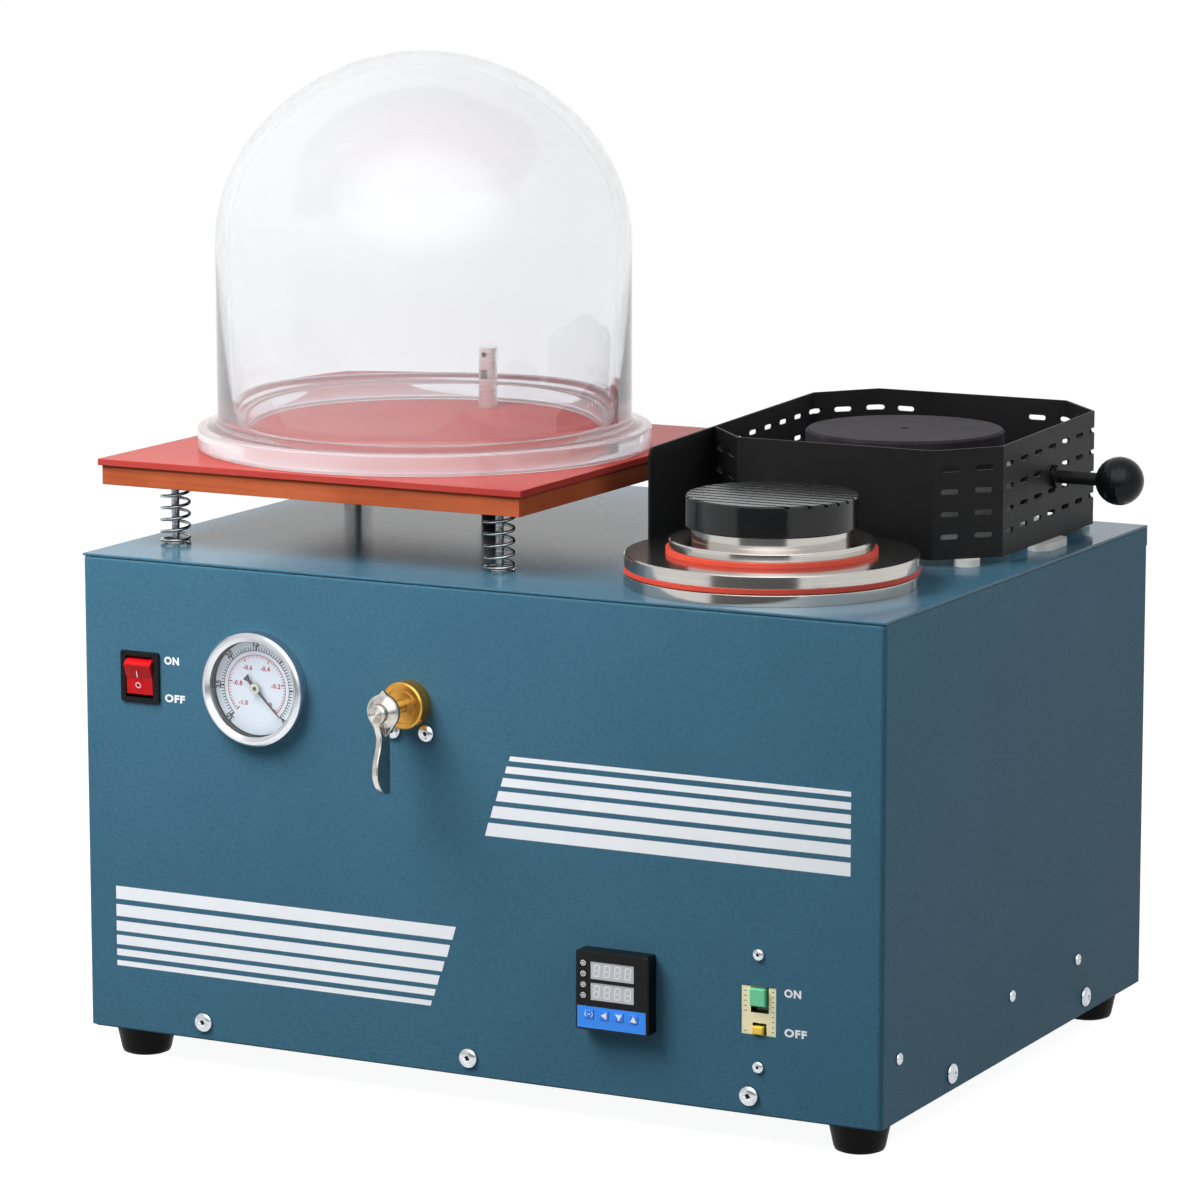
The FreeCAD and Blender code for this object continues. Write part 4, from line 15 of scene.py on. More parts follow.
import bmesh
import bpy
import numpy as np
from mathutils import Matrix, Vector


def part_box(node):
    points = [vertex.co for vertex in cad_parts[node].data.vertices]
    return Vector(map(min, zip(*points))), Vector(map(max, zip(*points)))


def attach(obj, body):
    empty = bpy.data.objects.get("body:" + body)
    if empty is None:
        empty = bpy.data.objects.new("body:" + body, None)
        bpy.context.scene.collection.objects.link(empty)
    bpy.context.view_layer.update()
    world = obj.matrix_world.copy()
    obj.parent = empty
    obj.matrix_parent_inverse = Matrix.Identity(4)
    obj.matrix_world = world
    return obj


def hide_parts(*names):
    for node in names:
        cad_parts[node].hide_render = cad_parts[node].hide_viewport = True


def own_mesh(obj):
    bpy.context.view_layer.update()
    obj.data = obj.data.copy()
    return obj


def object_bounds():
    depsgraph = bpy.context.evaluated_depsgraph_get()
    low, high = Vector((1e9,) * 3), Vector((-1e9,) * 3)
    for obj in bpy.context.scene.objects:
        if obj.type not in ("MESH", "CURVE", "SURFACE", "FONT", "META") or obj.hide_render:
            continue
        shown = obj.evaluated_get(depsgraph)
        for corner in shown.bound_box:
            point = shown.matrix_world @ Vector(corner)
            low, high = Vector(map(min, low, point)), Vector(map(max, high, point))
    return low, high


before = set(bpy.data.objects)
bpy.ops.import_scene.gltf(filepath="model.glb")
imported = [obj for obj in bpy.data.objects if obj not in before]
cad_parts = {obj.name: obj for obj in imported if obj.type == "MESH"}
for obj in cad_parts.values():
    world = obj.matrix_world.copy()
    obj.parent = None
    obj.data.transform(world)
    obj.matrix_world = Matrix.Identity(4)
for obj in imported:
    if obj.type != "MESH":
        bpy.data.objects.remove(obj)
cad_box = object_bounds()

LOG = logging.getLogger("casting_machine")
MM = 0.001
FULL_TURN = 2 * math.pi
WHITE = (1.0, 1.0, 1.0, 1.0)
# Points nearer to each other than this, in metres, are one point.
WELD = 0.001 * MM
# How far ink stands off its surface, in millimetres.
PRINT_PROUD = 0.06
# Degrees between the points of a flat band.
BAND_STEP = 4
# Printed letters: points in each of their curves, height of the panel's words in millimetres, how far strokes
# are fattened as a share of the letters' size, and how fast the gaps between letters grow with that.
LETTER_STEPS = 4
LETTER_HEIGHT = 5.0
LETTER_BOLD = 0.045
LETTER_GAPS = 3
# The part of a noise's range that holds nearly all of its values: for roughness, and narrower for colour.
NOISE_SPAN = (0.3, 0.7)
TONE_SPAN = (0.35, 0.65)
# How far light travels under a surface, in metres.
UNDER_SKIN = 2 * MM
# A brushed streak's fineness along its length, as a share of that across it.
STREAK = 0.02
# Rays that find the edges that catch light.
EDGE_RAYS = 6


def linear(colour: str) -> tuple[float, float, float, float]:
    """An sRGB hex colour as linear RGB with full alpha.

    Args:
        colour: Six hex digits after a hash sign.

    Returns:
        Red, green, blue and alpha.
    """
    parts = [int(colour[i : i + 2], 16) / 255 for i in (1, 3, 5)]
    red, green, blue = [c / 12.92 if c <= 0.04045 else ((c + 0.055) / 1.055) ** 2.4 for c in parts]
    return red, green, blue, 1.0


# ---- Places --------------------------------------------------------------------------------------


@dataclass(frozen=True)
class Plane:
    """A drawing place: an origin in metres with its right, up and outward directions."""

    origin: np.ndarray
    right: np.ndarray
    up: np.ndarray
    out: np.ndarray

    def at(self, x: float, y: float, out: float = 0.0) -> np.ndarray:
        """A point given in millimetres from the origin."""
        return self.origin + MM * (x * self.right + y * self.up + out * self.out)

    def moved(self, x: float, y: float, out: float = 0.0) -> "Plane":
        """The same plane about another origin, given in millimetres."""
        return Plane(self.at(x, y, out), self.right, self.up, self.out)

    def turned(self, degrees: float) -> "Plane":
        """The same plane turned counter-clockwise about its outward direction."""
        c, s = math.cos(math.radians(degrees)), math.sin(math.radians(degrees))
        return Plane(self.origin, c * self.right + s * self.up, c * self.up - s * self.right, self.out)

    def lift(self, flat: np.ndarray) -> np.ndarray:
        """Drawn points as points in space: origin + x right + y up + z out.

        Args:
            flat: Rows of (x, y) or (x, y, out) in millimetres.

        Returns:
            Rows of points in metres.
        """
        rows = np.asarray(flat, float)
        if rows.shape[1] == 2:
            rows = np.column_stack([rows, np.zeros(len(rows))])
        return self.origin + MM * rows @ np.array([self.right, self.up, self.out])


RIGHT = np.array([1.0, 0.0, 0.0])
BACK = np.array([0.0, 1.0, 0.0])
UP = np.array([0.0, 0.0, 1.0])


def box_of(node: str) -> tuple[np.ndarray, np.ndarray]:
    """Lowest and highest corner of a CAD node."""
    low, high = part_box(node)
    return np.array(low), np.array(high)


def centre_of(node: str) -> np.ndarray:
    """Middle of a CAD node's box."""
    low, high = box_of(node)
    return (low + high) / 2


def front_of(node: str) -> Plane:
    """The front face of a CAD node.

    Args:
        node: The node's name.

    Returns:
        Its face as seen from before the machine, about its middle.
    """
    low, high = box_of(node)
    middle = (low + high) / 2
    return Plane(np.array([middle[0], low[1], middle[2]]), RIGHT, UP, -BACK)


def foot_of(node: str) -> Plane:
    """The lowest level of a CAD node, seen from above, about its middle."""
    low, high = box_of(node)
    return Plane(np.array([*(low + high)[:2] / 2, low[2]]), RIGHT, BACK, UP)


def front_panel() -> Plane:
    """The cabinet's front panel.

    Returns:
        Its face about the cabinet's lower left corner.
    """
    corner, _ = box_of("cabinet_shell")
    tray, _ = box_of("base_tray")
    return Plane(np.array([corner[0], corner[1], tray[2]]), RIGHT, UP, -BACK)


# ---- Surfaces ------------------------------------------------------------------------------------


def polar(radius: np.ndarray | float, angles: np.ndarray) -> np.ndarray:
    """Rows of (radius cos a, radius sin a), for angles in radians."""
    return np.column_stack([radius * np.cos(angles), radius * np.sin(angles)])


@dataclass
class Surface:
    """Points in metres and the faces that join them."""

    points: np.ndarray
    faces: list[tuple[int, ...]]

    @staticmethod
    def joined(parts: list["Surface"]) -> "Surface":
        """Several surfaces as one.

        Args:
            parts: The surfaces.

        Returns:
            All their points and faces in the same order.
        """
        starts = np.cumsum([0] + [len(part.points) for part in parts])
        faces = [tuple(start + i for i in face) for part, start in zip(parts, starts) for face in part.faces]
        return Surface(np.vstack([part.points for part in parts]), faces)

    @staticmethod
    def grid(points: np.ndarray, around: bool) -> "Surface":
        """Quads between neighbours in a grid: each joins (i, j), (i, j+1), (i+1, j+1) and (i+1, j).

        Args:
            points: A (rows, columns, 3) array.
            around: True if the last column meets the first.

        Returns:
            The surface.
        """
        rows, columns = points.shape[:2]
        index = np.arange(rows * columns).reshape(rows, columns)
        if around:
            index = np.hstack([index, index[:, :1]])
        quads = np.stack([index[:-1, :-1], index[:-1, 1:], index[1:, 1:], index[1:, :-1]], axis=-1)
        return Surface(points.reshape(-1, 3), quads.reshape(-1, 4).tolist())

    @staticmethod
    def flat(plane: Plane, outline: np.ndarray) -> "Surface":
        """One flat face with a counter-clockwise outline in millimetres."""
        return Surface(plane.lift(outline), [tuple(range(len(outline)))])

    @classmethod
    def revolved(cls, plane: Plane, profile: np.ndarray, sides: int) -> "Surface":
        """A profile turned about the plane's outward direction: (r cos a, r sin a, z) for a full turn of a.

        Args:
            plane: Where the axis stands.
            profile: Rows of (radius, out) in millimetres.
            sides: How many steps the turn has.

        Returns:
            The surface. Rows of radius 0 are merged to poles when the piece is made.
        """
        angles = np.linspace(0, FULL_TURN, sides, endpoint=False)
        radius, out = np.asarray(profile, float).T
        x, y = radius[:, None] * np.cos(angles), radius[:, None] * np.sin(angles)
        points = plane.lift(np.stack([x, y, np.broadcast_to(out[:, None], x.shape)], axis=-1).reshape(-1, 3))
        return cls.grid(points.reshape(len(radius), sides, 3), around=True)

    @classmethod
    def band(
        cls, plane: Plane, inner: float, outer: float, start: float = 0.0, end: float = 360.0
    ) -> "Surface":
        """A flat band between two radii, from one angle to another: (r cos a, r sin a).

        Args:
            plane: Where it lies, about its centre.
            inner: Inner radius in millimetres.
            outer: Outer radius in millimetres.
            start: First angle in degrees.
            end: Last angle in degrees.

        Returns:
            The surface.
        """
        steps = max(2, int(abs(end - start) / BAND_STEP))
        angles = np.radians(np.linspace(end, start, steps + 1))
        return cls.grid(np.stack([plane.lift(polar(r, angles)) for r in (inner, outer)]), around=False)

    @classmethod
    def sleeve(cls, plane: Plane, loop: np.ndarray, ends: tuple[float, float]) -> "Surface":
        """The wall of a loop that is carried straight out of a plane, open at both ends.

        Args:
            plane: Where the loop is drawn.
            loop: Its corners in millimetres.
            ends: How far out the wall starts and ends.

        Returns:
            The surface.
        """
        rims = [plane.lift(np.column_stack([loop, np.full(len(loop), z)])) for z in ends]
        return cls.grid(np.stack(rims), around=True)

    @classmethod
    def wire(cls, path: np.ndarray, radius: float, sides: int = 12) -> "Surface":
        """A round wire: path + radius (cos a side + sin a other), with a flat face at both ends.

        Args:
            path: Rows of points in metres.
            radius: The wire's radius in metres.
            sides: Faces round the wire.

        Returns:
            The surface.
        """
        tangent = np.gradient(path, axis=0)
        tangent /= np.linalg.norm(tangent, axis=1)[:, None]
        side = np.cross(tangent, UP)
        side /= np.linalg.norm(side, axis=1)[:, None]
        other = np.cross(side, tangent)
        angles = np.linspace(0, FULL_TURN, sides, endpoint=False)[None, :, None]
        spokes = np.cos(angles) * side[:, None] + np.sin(angles) * other[:, None]
        body = cls.grid(path[:, None] + radius * spokes, around=True)
        last = (len(path) - 1) * sides
        body.faces += [tuple(reversed(range(sides))), tuple(range(last, last + sides))]
        return body


def bar(x: float, y: float, width: float, height: float) -> np.ndarray:
    """Corners of a rectangle about (x, y), counter-clockwise, in millimetres."""
    w, h = width / 2, height / 2
    return np.array([[x - w, y - h], [x + w, y - h], [x + w, y + h], [x - w, y + h]])


def arc(centre: tuple[float, float], radius: float, start: float, end: float, steps: int) -> np.ndarray:
    """Rows along an arc: centre + radius (cos a, sin a), in millimetres and degrees."""
    return np.array(centre) + polar(radius, np.radians(np.linspace(start, end, steps + 1)))


def text_surface(text: str, height: float, plane: Plane, bold: float = 0.0, width: float = 0.0) -> Surface:
    """Flat letters centred on a plane's origin.

    Args:
        text: What to write.
        height: Height of the tallest letter in millimetres.
        plane: Where to write it.
        bold: How far the strokes are fattened, as a share of the letters' size.
        width: Width of the whole text in millimetres; 0 keeps the letters' own.

    Returns:
        The letters as one surface.
    """
    curve = bpy.data.curves.new("letters", "FONT")
    curve.body = text
    curve.offset = bold
    curve.space_character = 1.0 + LETTER_GAPS * bold
    curve.resolution_u = LETTER_STEPS
    holder = bpy.data.objects.new("letters", curve)
    mesh = holder.to_mesh()
    flat = np.array([v.co[:2] for v in mesh.vertices])
    faces = [tuple(p.vertices) for p in mesh.polygons]
    low, high = flat.min(axis=0), flat.max(axis=0)
    across, upright = high - low
    stretch = np.array([width / across if width else height / upright, height / upright])
    flat = (flat - (low + high) / 2) * stretch
    holder.to_mesh_clear()
    bpy.data.objects.remove(holder)
    bpy.data.curves.remove(curve)
    return Surface(plane.lift(flat), faces)


# ---- Finishes ------------------------------------------------------------------------------------


class Shade:
    """One material's node tree."""

    def __init__(self, tree: bpy.types.NodeTree) -> None:
        """Empties the tree."""
        self.tree = tree
        tree.nodes.clear()

    def add(self, kind: str, sockets: dict | None = None, **settings: object) -> bpy.types.Node:
        """Adds a node, sets its properties, and links or sets its inputs.

        Args:
            kind: The node's type without its ShaderNode prefix.
            sockets: Input name or number to an output socket or a constant.
            settings: The node's own properties.

        Returns:
            The node.
        """
        node = self.tree.nodes.new("ShaderNode" + kind)
        for name, value in settings.items():
            setattr(node, name, value)
        for key, value in (sockets or {}).items():
            if isinstance(value, bpy.types.NodeSocket):
                self.tree.links.new(value, node.inputs[key])
            else:
                node.inputs[key].default_value = value
        return node


def roughness_span(roughness: tuple[float, float]) -> dict[int, float]:
    """A range map's constants from a noise's span to the least and the greatest roughness."""
    return {1: NOISE_SPAN[0], 2: NOISE_SPAN[1], 3: roughness[0], 4: roughness[1]}


def shown_rays(shade: Shade) -> bpy.types.NodeSocket:
    """Which rays show a surface as it looks: those of the camera, of gloss and of clear materials.

    Args:
        shade: The tree to add nodes to.

    Returns:
        1 for those rays and 0 for the ones that carry its light.
    """
    path = shade.add("LightPath").outputs
    seen = {0: path["Is Camera Ray"], 1: path["Is Glossy Ray"]}
    seen = {0: shade.add("Math", seen, operation="MAXIMUM").outputs[0], 1: path["Is Transmission Ray"]}
    return shade.add("Math", seen, operation="MAXIMUM").outputs[0]


class Grain(Enum):
    """How a finish's fine pattern runs."""

    EVEN = "the same in every direction"
    BRUSHED = "long streaks along x"
    TURNED_UP = "rings round an upright axis"
    TURNED_OUT = "rings round an axis that points at the operator"
    THREAD = "ridges one above another"


@dataclass(frozen=True)
class Finish:
    """A solid material: slow patches of colour, and a fine grain in its roughness and relief.

    Attributes:
        name: What the surface really is.
        slot: The record's material slot; not used by this script.
        colour: Its sRGB colour.
        patch: The colour that its slow patches lean to.
        roughness: Least and greatest roughness.
        metallic: 1 for bare metal.
        grain: How the fine grain runs.
        grain_mm: Size of the fine grain.
        relief_mm: Height of the fine grain.
        patch_mm: Size of the slow patches.
        speckle: Share of the colour change that follows the fine grain.
        edge_mm: Radius that catches light along sharp edges.
        stretch: Stretch of the highlight across the grain.
        glow: Weight of light scattered under the surface.
        specular: Specular level, 0.5 for common plastics and paints.
        axis_node: The CAD node whose middle the turned grain circles.
    """

    name: str
    slot: str
    colour: str
    patch: str
    roughness: tuple[float, float]
    metallic: float = 0.0
    grain: Grain = Grain.EVEN
    grain_mm: float = 1.0
    relief_mm: float = 0.01
    patch_mm: float = 60.0
    speckle: float = 0.2
    edge_mm: float = 0.0
    stretch: float = 0.0
    glow: float = 0.0
    specular: float = 0.5
    axis_node: str = ""

    def grained(self, shade: Shade, spot: bpy.types.NodeSocket) -> bpy.types.NodeSocket:
        """Coordinates for the fine grain: squeezed along a streak, or (radius, height) round an axis.

        Args:
            shade: The tree to add nodes to.
            spot: Object coordinates.

        Returns:
            The coordinates that the grain's noise reads.
        """
        if self.grain is Grain.EVEN:
            return spot
        if self.grain in (Grain.BRUSHED, Grain.THREAD):
            scale = (STREAK, 1.0, 1.0) if self.grain is Grain.BRUSHED else (0.0, 0.0, 1.0)
            return shade.add("Mapping", {"Vector": spot, "Scale": scale}).outputs[0]
        centre = tuple(-centre_of(self.axis_node))
        moved = shade.add("Mapping", {"Vector": spot, "Location": centre}).outputs[0]
        split = shade.add("SeparateXYZ", {0: moved}).outputs
        across, along = ("Y", "Z") if self.grain is Grain.TURNED_UP else ("Z", "Y")
        flat = shade.add("CombineXYZ", {"X": split["X"], "Y": split[across]}).outputs[0]
        radius = shade.add("VectorMath", {0: flat}, operation="LENGTH").outputs["Value"]
        return shade.add("CombineXYZ", {"X": radius, "Y": split[along]}).outputs[0]

    def build(self, shade: Shade) -> bpy.types.NodeSocket:
        """Adds the material's nodes.

        Args:
            shade: The tree to add nodes to.

        Returns:
            The shader's output.
        """
        spot = shade.add("TexCoord").outputs["Object"]
        grain = {"Vector": self.grained(shade, spot), "Scale": 1 / (self.grain_mm * MM), "Detail": 3.0}
        fine = shade.add("TexNoise", grain).outputs[0]
        patches = {"Vector": spot, "Scale": 1 / (self.patch_mm * MM), "Detail": 2.0}
        slow = shade.add("TexNoise", patches).outputs[0]
        both = shade.add("Mix", {0: self.speckle, 2: slow, 3: fine}, data_type="FLOAT").outputs[0]
        span = {1: TONE_SPAN[0], 2: TONE_SPAN[1], 3: 0.0, 4: 1.0}
        lean = shade.add("MapRange", {0: both} | span).outputs[0]
        colours = {6: linear(self.colour), 7: linear(self.patch)}
        tone = shade.add("Mix", {0: lean} | colours, data_type="RGBA").outputs[2]
        rough = shade.add("MapRange", {0: fine} | roughness_span(self.roughness)).outputs[0]
        bump = {"Height": fine, "Distance": self.relief_mm * MM, "Strength": 1.0}
        if self.edge_mm:
            edge = shade.add("Bevel", {"Radius": self.edge_mm * MM}, samples=EDGE_RAYS)
            bump["Normal"] = edge.outputs[0]
        sockets = {"Base Color": tone, "Roughness": rough, "Metallic": self.metallic}
        sockets["Normal"] = shade.add("Bump", bump).outputs[0]
        sockets |= {"Anisotropic": self.stretch, "Specular IOR Level": self.specular}
        sockets |= {"Subsurface Weight": self.glow, "Subsurface Scale": UNDER_SKIN}
        return shade.add("BsdfPrincipled", sockets).outputs[0]


@dataclass(frozen=True)
class ClearSolid:
    """Glass or acrylic. Lamps' rays pass straight through, so what stands behind it stays lit.

    Attributes:
        name: What it really is.
        slot: The record's material slot; not used by this script.
        tint: The sRGB colour of light that has passed through.
        index: Its refractive index.
        ripple_mm: Size of the ripples in its surface.
        roughness: Least and greatest roughness.
        clear: Share of light that isn't scattered by a faint milkiness.
        height_mm: Height of the ripples.
    """

    name: str
    slot: str
    tint: str
    index: float
    ripple_mm: float
    roughness: tuple[float, float]
    clear: float
    height_mm: float = 0.04

    def build(self, shade: Shade) -> bpy.types.NodeSocket:
        """Adds the material's nodes.

        Args:
            shade: The tree to add nodes to.

        Returns:
            The shader's output.
        """
        spot = shade.add("TexCoord").outputs["Object"]
        waves = {"Vector": spot, "Scale": 1 / (self.ripple_mm * MM), "Detail": 1.0}
        ripple = shade.add("TexNoise", waves).outputs[0]
        haze = shade.add("MapRange", {0: ripple} | roughness_span(self.roughness)).outputs[0]
        bump = {"Height": ripple, "Distance": self.height_mm * MM, "Strength": 1.0}
        normal = shade.add("Bump", bump).outputs[0]
        sockets = {"Base Color": linear(self.tint), "Roughness": haze, "IOR": self.index}
        sockets |= {"Transmission Weight": self.clear, "Normal": normal}
        solid = shade.add("BsdfPrincipled", sockets).outputs[0]
        passed = shade.add("BsdfTransparent", {"Color": linear(self.tint)}).outputs[0]
        lamp = shade.add("LightPath").outputs["Is Shadow Ray"]
        return shade.add("MixShader", {0: lamp, 1: solid, 2: passed}).outputs[0]


@dataclass(frozen=True)
class StudioFloor:
    """A seamless white floor: it shows white where it is seen, less the machine's soft shadow.

    Attributes:
        name: What it really is.
        slot: Left empty, because the floor is no part of the machine; not used by this script.
        colours: The two sRGB greys, mixed fibre by fibre, that light from it takes on.
        fibres: Fibres in a metre.
        shadow: How strongly the machine's shadow shows.
        glow: Share of its white that doesn't depend on the light.
    """

    name: str = "seamless white paper"
    slot: str = ""
    colours: tuple[str, str] = ("#7c7c7c", "#848484")
    fibres: float = 250.0
    shadow: float = 0.3
    glow: float = 0.94

    def build(self, shade: Shade) -> bpy.types.NodeSocket:
        """Adds the material's nodes.

        Args:
            shade: The tree to add nodes to.

        Returns:
            The shader's output.
        """
        spot = shade.add("TexCoord").outputs["Object"]
        fibre = shade.add("TexNoise", {"Vector": spot, "Scale": self.fibres, "Detail": 2.0}).outputs[0]
        first, second = [linear(colour) for colour in self.colours]
        tone = shade.add("Mix", {0: fibre, 6: first, 7: second}, data_type="RGBA").outputs[2]
        lit = shade.add("BsdfDiffuse", {"Color": tone}).outputs[0]
        faint = shade.add("BsdfDiffuse", {"Color": (self.shadow, self.shadow, self.shadow, 1.0)}).outputs[0]
        own = shade.add("Emission", {"Color": WHITE, "Strength": self.glow}).outputs[0]
        shown = shade.add("AddShader", {0: faint, 1: own}).outputs[0]
        return shade.add("MixShader", {0: shown_rays(shade), 1: lit, 2: shown}).outputs[0]


# Sprayed satin enamel on sheet steel: a soft sheen broken by an orange peel of bumps 1.7 mm across.
ENAMEL = Finish("satin blue enamel", "cabinet_paint", "#457087", "#3e677d", (0.3, 0.44), grain_mm=1.7,
                relief_mm=0.2, patch_mm=90.0, speckle=0.7, edge_mm=0.8, specular=0.035)
# The same enamel, rubbed bright by use, so that the cover mirrors what stands on it.
COVER = replace(ENAMEL, name="glossy blue enamel", roughness=(0.1, 0.2), relief_mm=0.05, specular=0.11)
# Screen ink on enamel: flat, faintly blue white, its thickness too fine to see.
PRINT = Finish("white screen print", "dial_white", "#f6f9fd", "#eff4fa", (0.4, 0.52), grain_mm=0.8,
               relief_mm=0.004, specular=0.2)
# Moulded nitrile rubber: near black with a dull sheen.
FOOT = Finish("moulded black rubber", "foot_rubber", "#0b0b0b", "#101010", (0.38, 0.52), relief_mm=0.012,
              edge_mm=0.5, specular=0.08)
# Zinc plate on steel: bright, faintly blue, with small dull patches.
ZINC = Finish("bright zinc plate", "zinc_steel", "#cdd2d6", "#b4b9bd", (0.14, 0.3), 1.0, grain_mm=0.7,
              relief_mm=0.006, patch_mm=4.0, edge_mm=0.3)
# Painted shade at the bottom of a screw's recess: a near black disc that stands in for the shade deep in the
# hollow.
RECESS_SHADE = Finish("painted recess shade", "zinc_steel", "#1a1a1b", "#242425", (0.5, 0.7), relief_mm=0.02,
                specular=0.2)
# Rolled thread on a zinc bolt: its ridges show as fine dark rings 1.2 mm apart.
BOLT = Finish("threaded zinc bolt", "zinc_steel", "#b9bdc1", "#84888c", (0.2, 0.36), 1.0, Grain.THREAD,
              1.2, 0.12, speckle=0.8)
# Drawn and plated spring wire: bright with dark streaks.
SPRING = Finish("drawn spring wire", "spring_steel", "#c4c6c8", "#a5a7a9", (0.1, 0.24), 1.0,
                relief_mm=0.005, patch_mm=6.0)
# Lathe-turned stainless steel: rings 0.4 mm apart stretch the highlight across them.
FLANGE = Finish("turned stainless flange", "stainless", "#cfcbc6", "#b5b1ab", (0.1, 0.2), 1.0,
                Grain.TURNED_UP, 0.4, 0.004, speckle=0.6, edge_mm=0.5, stretch=0.4,
                axis_node="chamber_flange")
# Rolled stainless sheet: a dull finish with faint rings round it.
CAN = Finish("rolled stainless can", "stainless", "#c4c1bd", "#a9a6a1", (0.26, 0.42), 1.0,
             Grain.TURNED_UP, 0.6, 0.006, edge_mm=0.3, axis_node="furnace_can")
# Softly polished stainless post: bright, with faint turning rings.
POST = Finish("bright turned post", "stainless", "#f4f3f1", "#e2e0de", (0.24, 0.36), 0.85,
              Grain.TURNED_UP, 0.5, 0.001, edge_mm=0.3, axis_node="vacuum_post")
# Moulded silicone sheet, brick red: matt with a soft edge.
GASKET = Finish("red silicone gasket", "red_rubber", "#d2442c", "#bd3824", (0.4, 0.55), grain_mm=0.8,
                edge_mm=0.5, glow=0.05)
# Cast silicone pad, brick pink: smooth, with a little light under its surface.
PAD = Finish("pink silicone pad", "pad_silicone", "#ad433c", "#a63b36", (0.1, 0.16), grain_mm=9.0,
             relief_mm=0.003, patch_mm=80.0, speckle=0.0, edge_mm=0.8, glow=0.08, specular=0.01)
# Pressed phenolic laminate: orange brown, lacquered, faint fibres along it.
BOARD = Finish("orange phenolic board", "phenolic_board", "#b25b3a", "#994a2b", (0.26, 0.4),
               grain=Grain.BRUSHED, grain_mm=1.5, patch_mm=35.0, speckle=0.4, edge_mm=0.6, specular=0.06)
# Turned and black anodised aluminium: near black, with a clean soft highlight.
DISC = Finish("black anodised disc", "black_anodised", "#0f1012", "#16171a", (0.12, 0.2), grain_mm=3.0,
              relief_mm=0.001, edge_mm=0.4, specular=0.4)
# Baked powder coat on sheet: black, fine texture of 0.8 mm grains.
GUARD = Finish("black powder coat", "guard_paint", "#101011", "#171718", (0.42, 0.56), grain_mm=0.8,
               relief_mm=0.015, edge_mm=0.4, specular=0.15)
# Steel lid blued by heat: dull, in uneven dark greys.
LID = Finish("heat-blued steel lid", "lid_steel", "#262427", "#302e32", (0.5, 0.66), grain_mm=0.8,
             relief_mm=0.02, patch_mm=14.0, edge_mm=0.7, specular=0.05)
# Polished phenolic ball: deep black with clean highlights.
BALL = Finish("polished black ball", "ball_plastic", "#0c0d10", "#101115", (0.16, 0.24), grain_mm=4.0,
              relief_mm=0.002, specular=0.15)
# Moulded ABS with a spark-eroded texture: satin black.
# It also serves as painted shade in the breaker's wells and on the gauge dial's rim.
BLACK = Finish("satin black moulding", "black_plastic", "#0c0c0e", "#121214", (0.24, 0.36), grain_mm=0.6,
               relief_mm=0.006, edge_mm=0.3, specular=0.15)
# Clear red polycarbonate: saturated and glossy, with a little light scattered inside it.
ROCKER = Finish("clear red rocker", "rocker_red", "#c60d17", "#b60b14", (0.14, 0.22), grain_mm=4.0,
                relief_mm=0.003, edge_mm=0.5, glow=0.2, specular=0.15)
# Rolled and satin-polished stainless ring.
BEZEL = Finish("satin stainless bezel", "stainless", "#dadce0", "#c9cbd0", (0.2, 0.32), 1.0,
               Grain.TURNED_OUT, 0.5, 0.004, edge_mm=0.3, stretch=0.3, axis_node="gauge_bezel")
# Baked white enamel on tin plate, faintly blue.
DIAL = Finish("white dial enamel", "dial_white", "#dbe3ee", "#d4deeb", (0.4, 0.5), grain_mm=0.8,
              relief_mm=0.003)
# Printing inks on the dial: flat, matt.
INK = Finish("black dial ink", "needle_black", "#08090b", "#0e0f12", (0.45, 0.55), grain_mm=0.6,
             relief_mm=0.002)
RED_INK = Finish("red dial ink", "rocker_red", "#b0201a", "#a21a15", (0.45, 0.55), grain_mm=0.6,
                 relief_mm=0.002)
# Blackened steel needle: dull blue black.
NEEDLE = Finish("blackened needle", "needle_black", "#2b2f37", "#23272e", (0.34, 0.46), grain_mm=0.8,
                relief_mm=0.002)
# Nickelled needle cap: small and bright, faintly yellow.
CAP = Finish("nickelled cap", "chrome", "#dedad0", "#c9c5ba", (0.16, 0.26), 1.0, relief_mm=0.003)
# Free-cutting brass: golden, with rings 0.5 mm apart from the tool.
BRASS = Finish("turned brass", "brass", "#d9a24a", "#bd8737", (0.22, 0.34), 0.85, Grain.TURNED_OUT, 0.5,
               0.02, speckle=0.7, edge_mm=0.4, stretch=0.4, axis_node="valve_collar")
# Nickel plate over a polished casting: warm, bright, with soft hollows.
NICKEL = Finish("polished nickel plate", "chrome", "#cbc7c0", "#b4b0a8", (0.12, 0.24), 1.0, grain_mm=2.5,
                relief_mm=0.02, patch_mm=8.0, edge_mm=0.6)
# Tinted acrylic over unlit digits: cool grey.
WINDOW = Finish("grey display window", "display_grey", "#c9cdd1", "#c0c4c9", (0.2, 0.3), relief_mm=0.002,
                specular=0.3)
# Its clear segments: a shade lighter than the acrylic round them.
SEGMENT = Finish("unlit display segments", "display_grey", "#f0f2f4", "#e6e9ec", (0.3, 0.4),
                 relief_mm=0.002)
# Printed polyester film: strong flat blue.
FILM = Finish("bright blue film", "strip_blue", "#2f92ff", "#2b8bf8", (0.28, 0.4), relief_mm=0.003,
              edge_mm=0.2)
# The patch printed on each key: a deeper blue than the film round it.
KEY_PATCH = Finish("deep blue key print", "strip_blue", "#2b80f0", "#277ae6", (0.28, 0.4), relief_mm=0.003)
# Moulded urea resin, cream.
CREAM = Finish("cream moulding", "breaker_cream", "#fcf5cc", "#f3ebc0", (0.4, 0.52), grain_mm=0.7,
               edge_mm=0.3)
# Moulded nylon buttons: soft gloss.
GREEN = Finish("green button", "button_green", "#6fd6a2", "#63cb96", (0.24, 0.36), relief_mm=0.004,
               edge_mm=0.4, glow=0.1)
YELLOW = Finish("yellow button", "button_yellow", "#ffdc50", "#f8d040", (0.24, 0.36), relief_mm=0.004,
                edge_mm=0.4, glow=0.1)
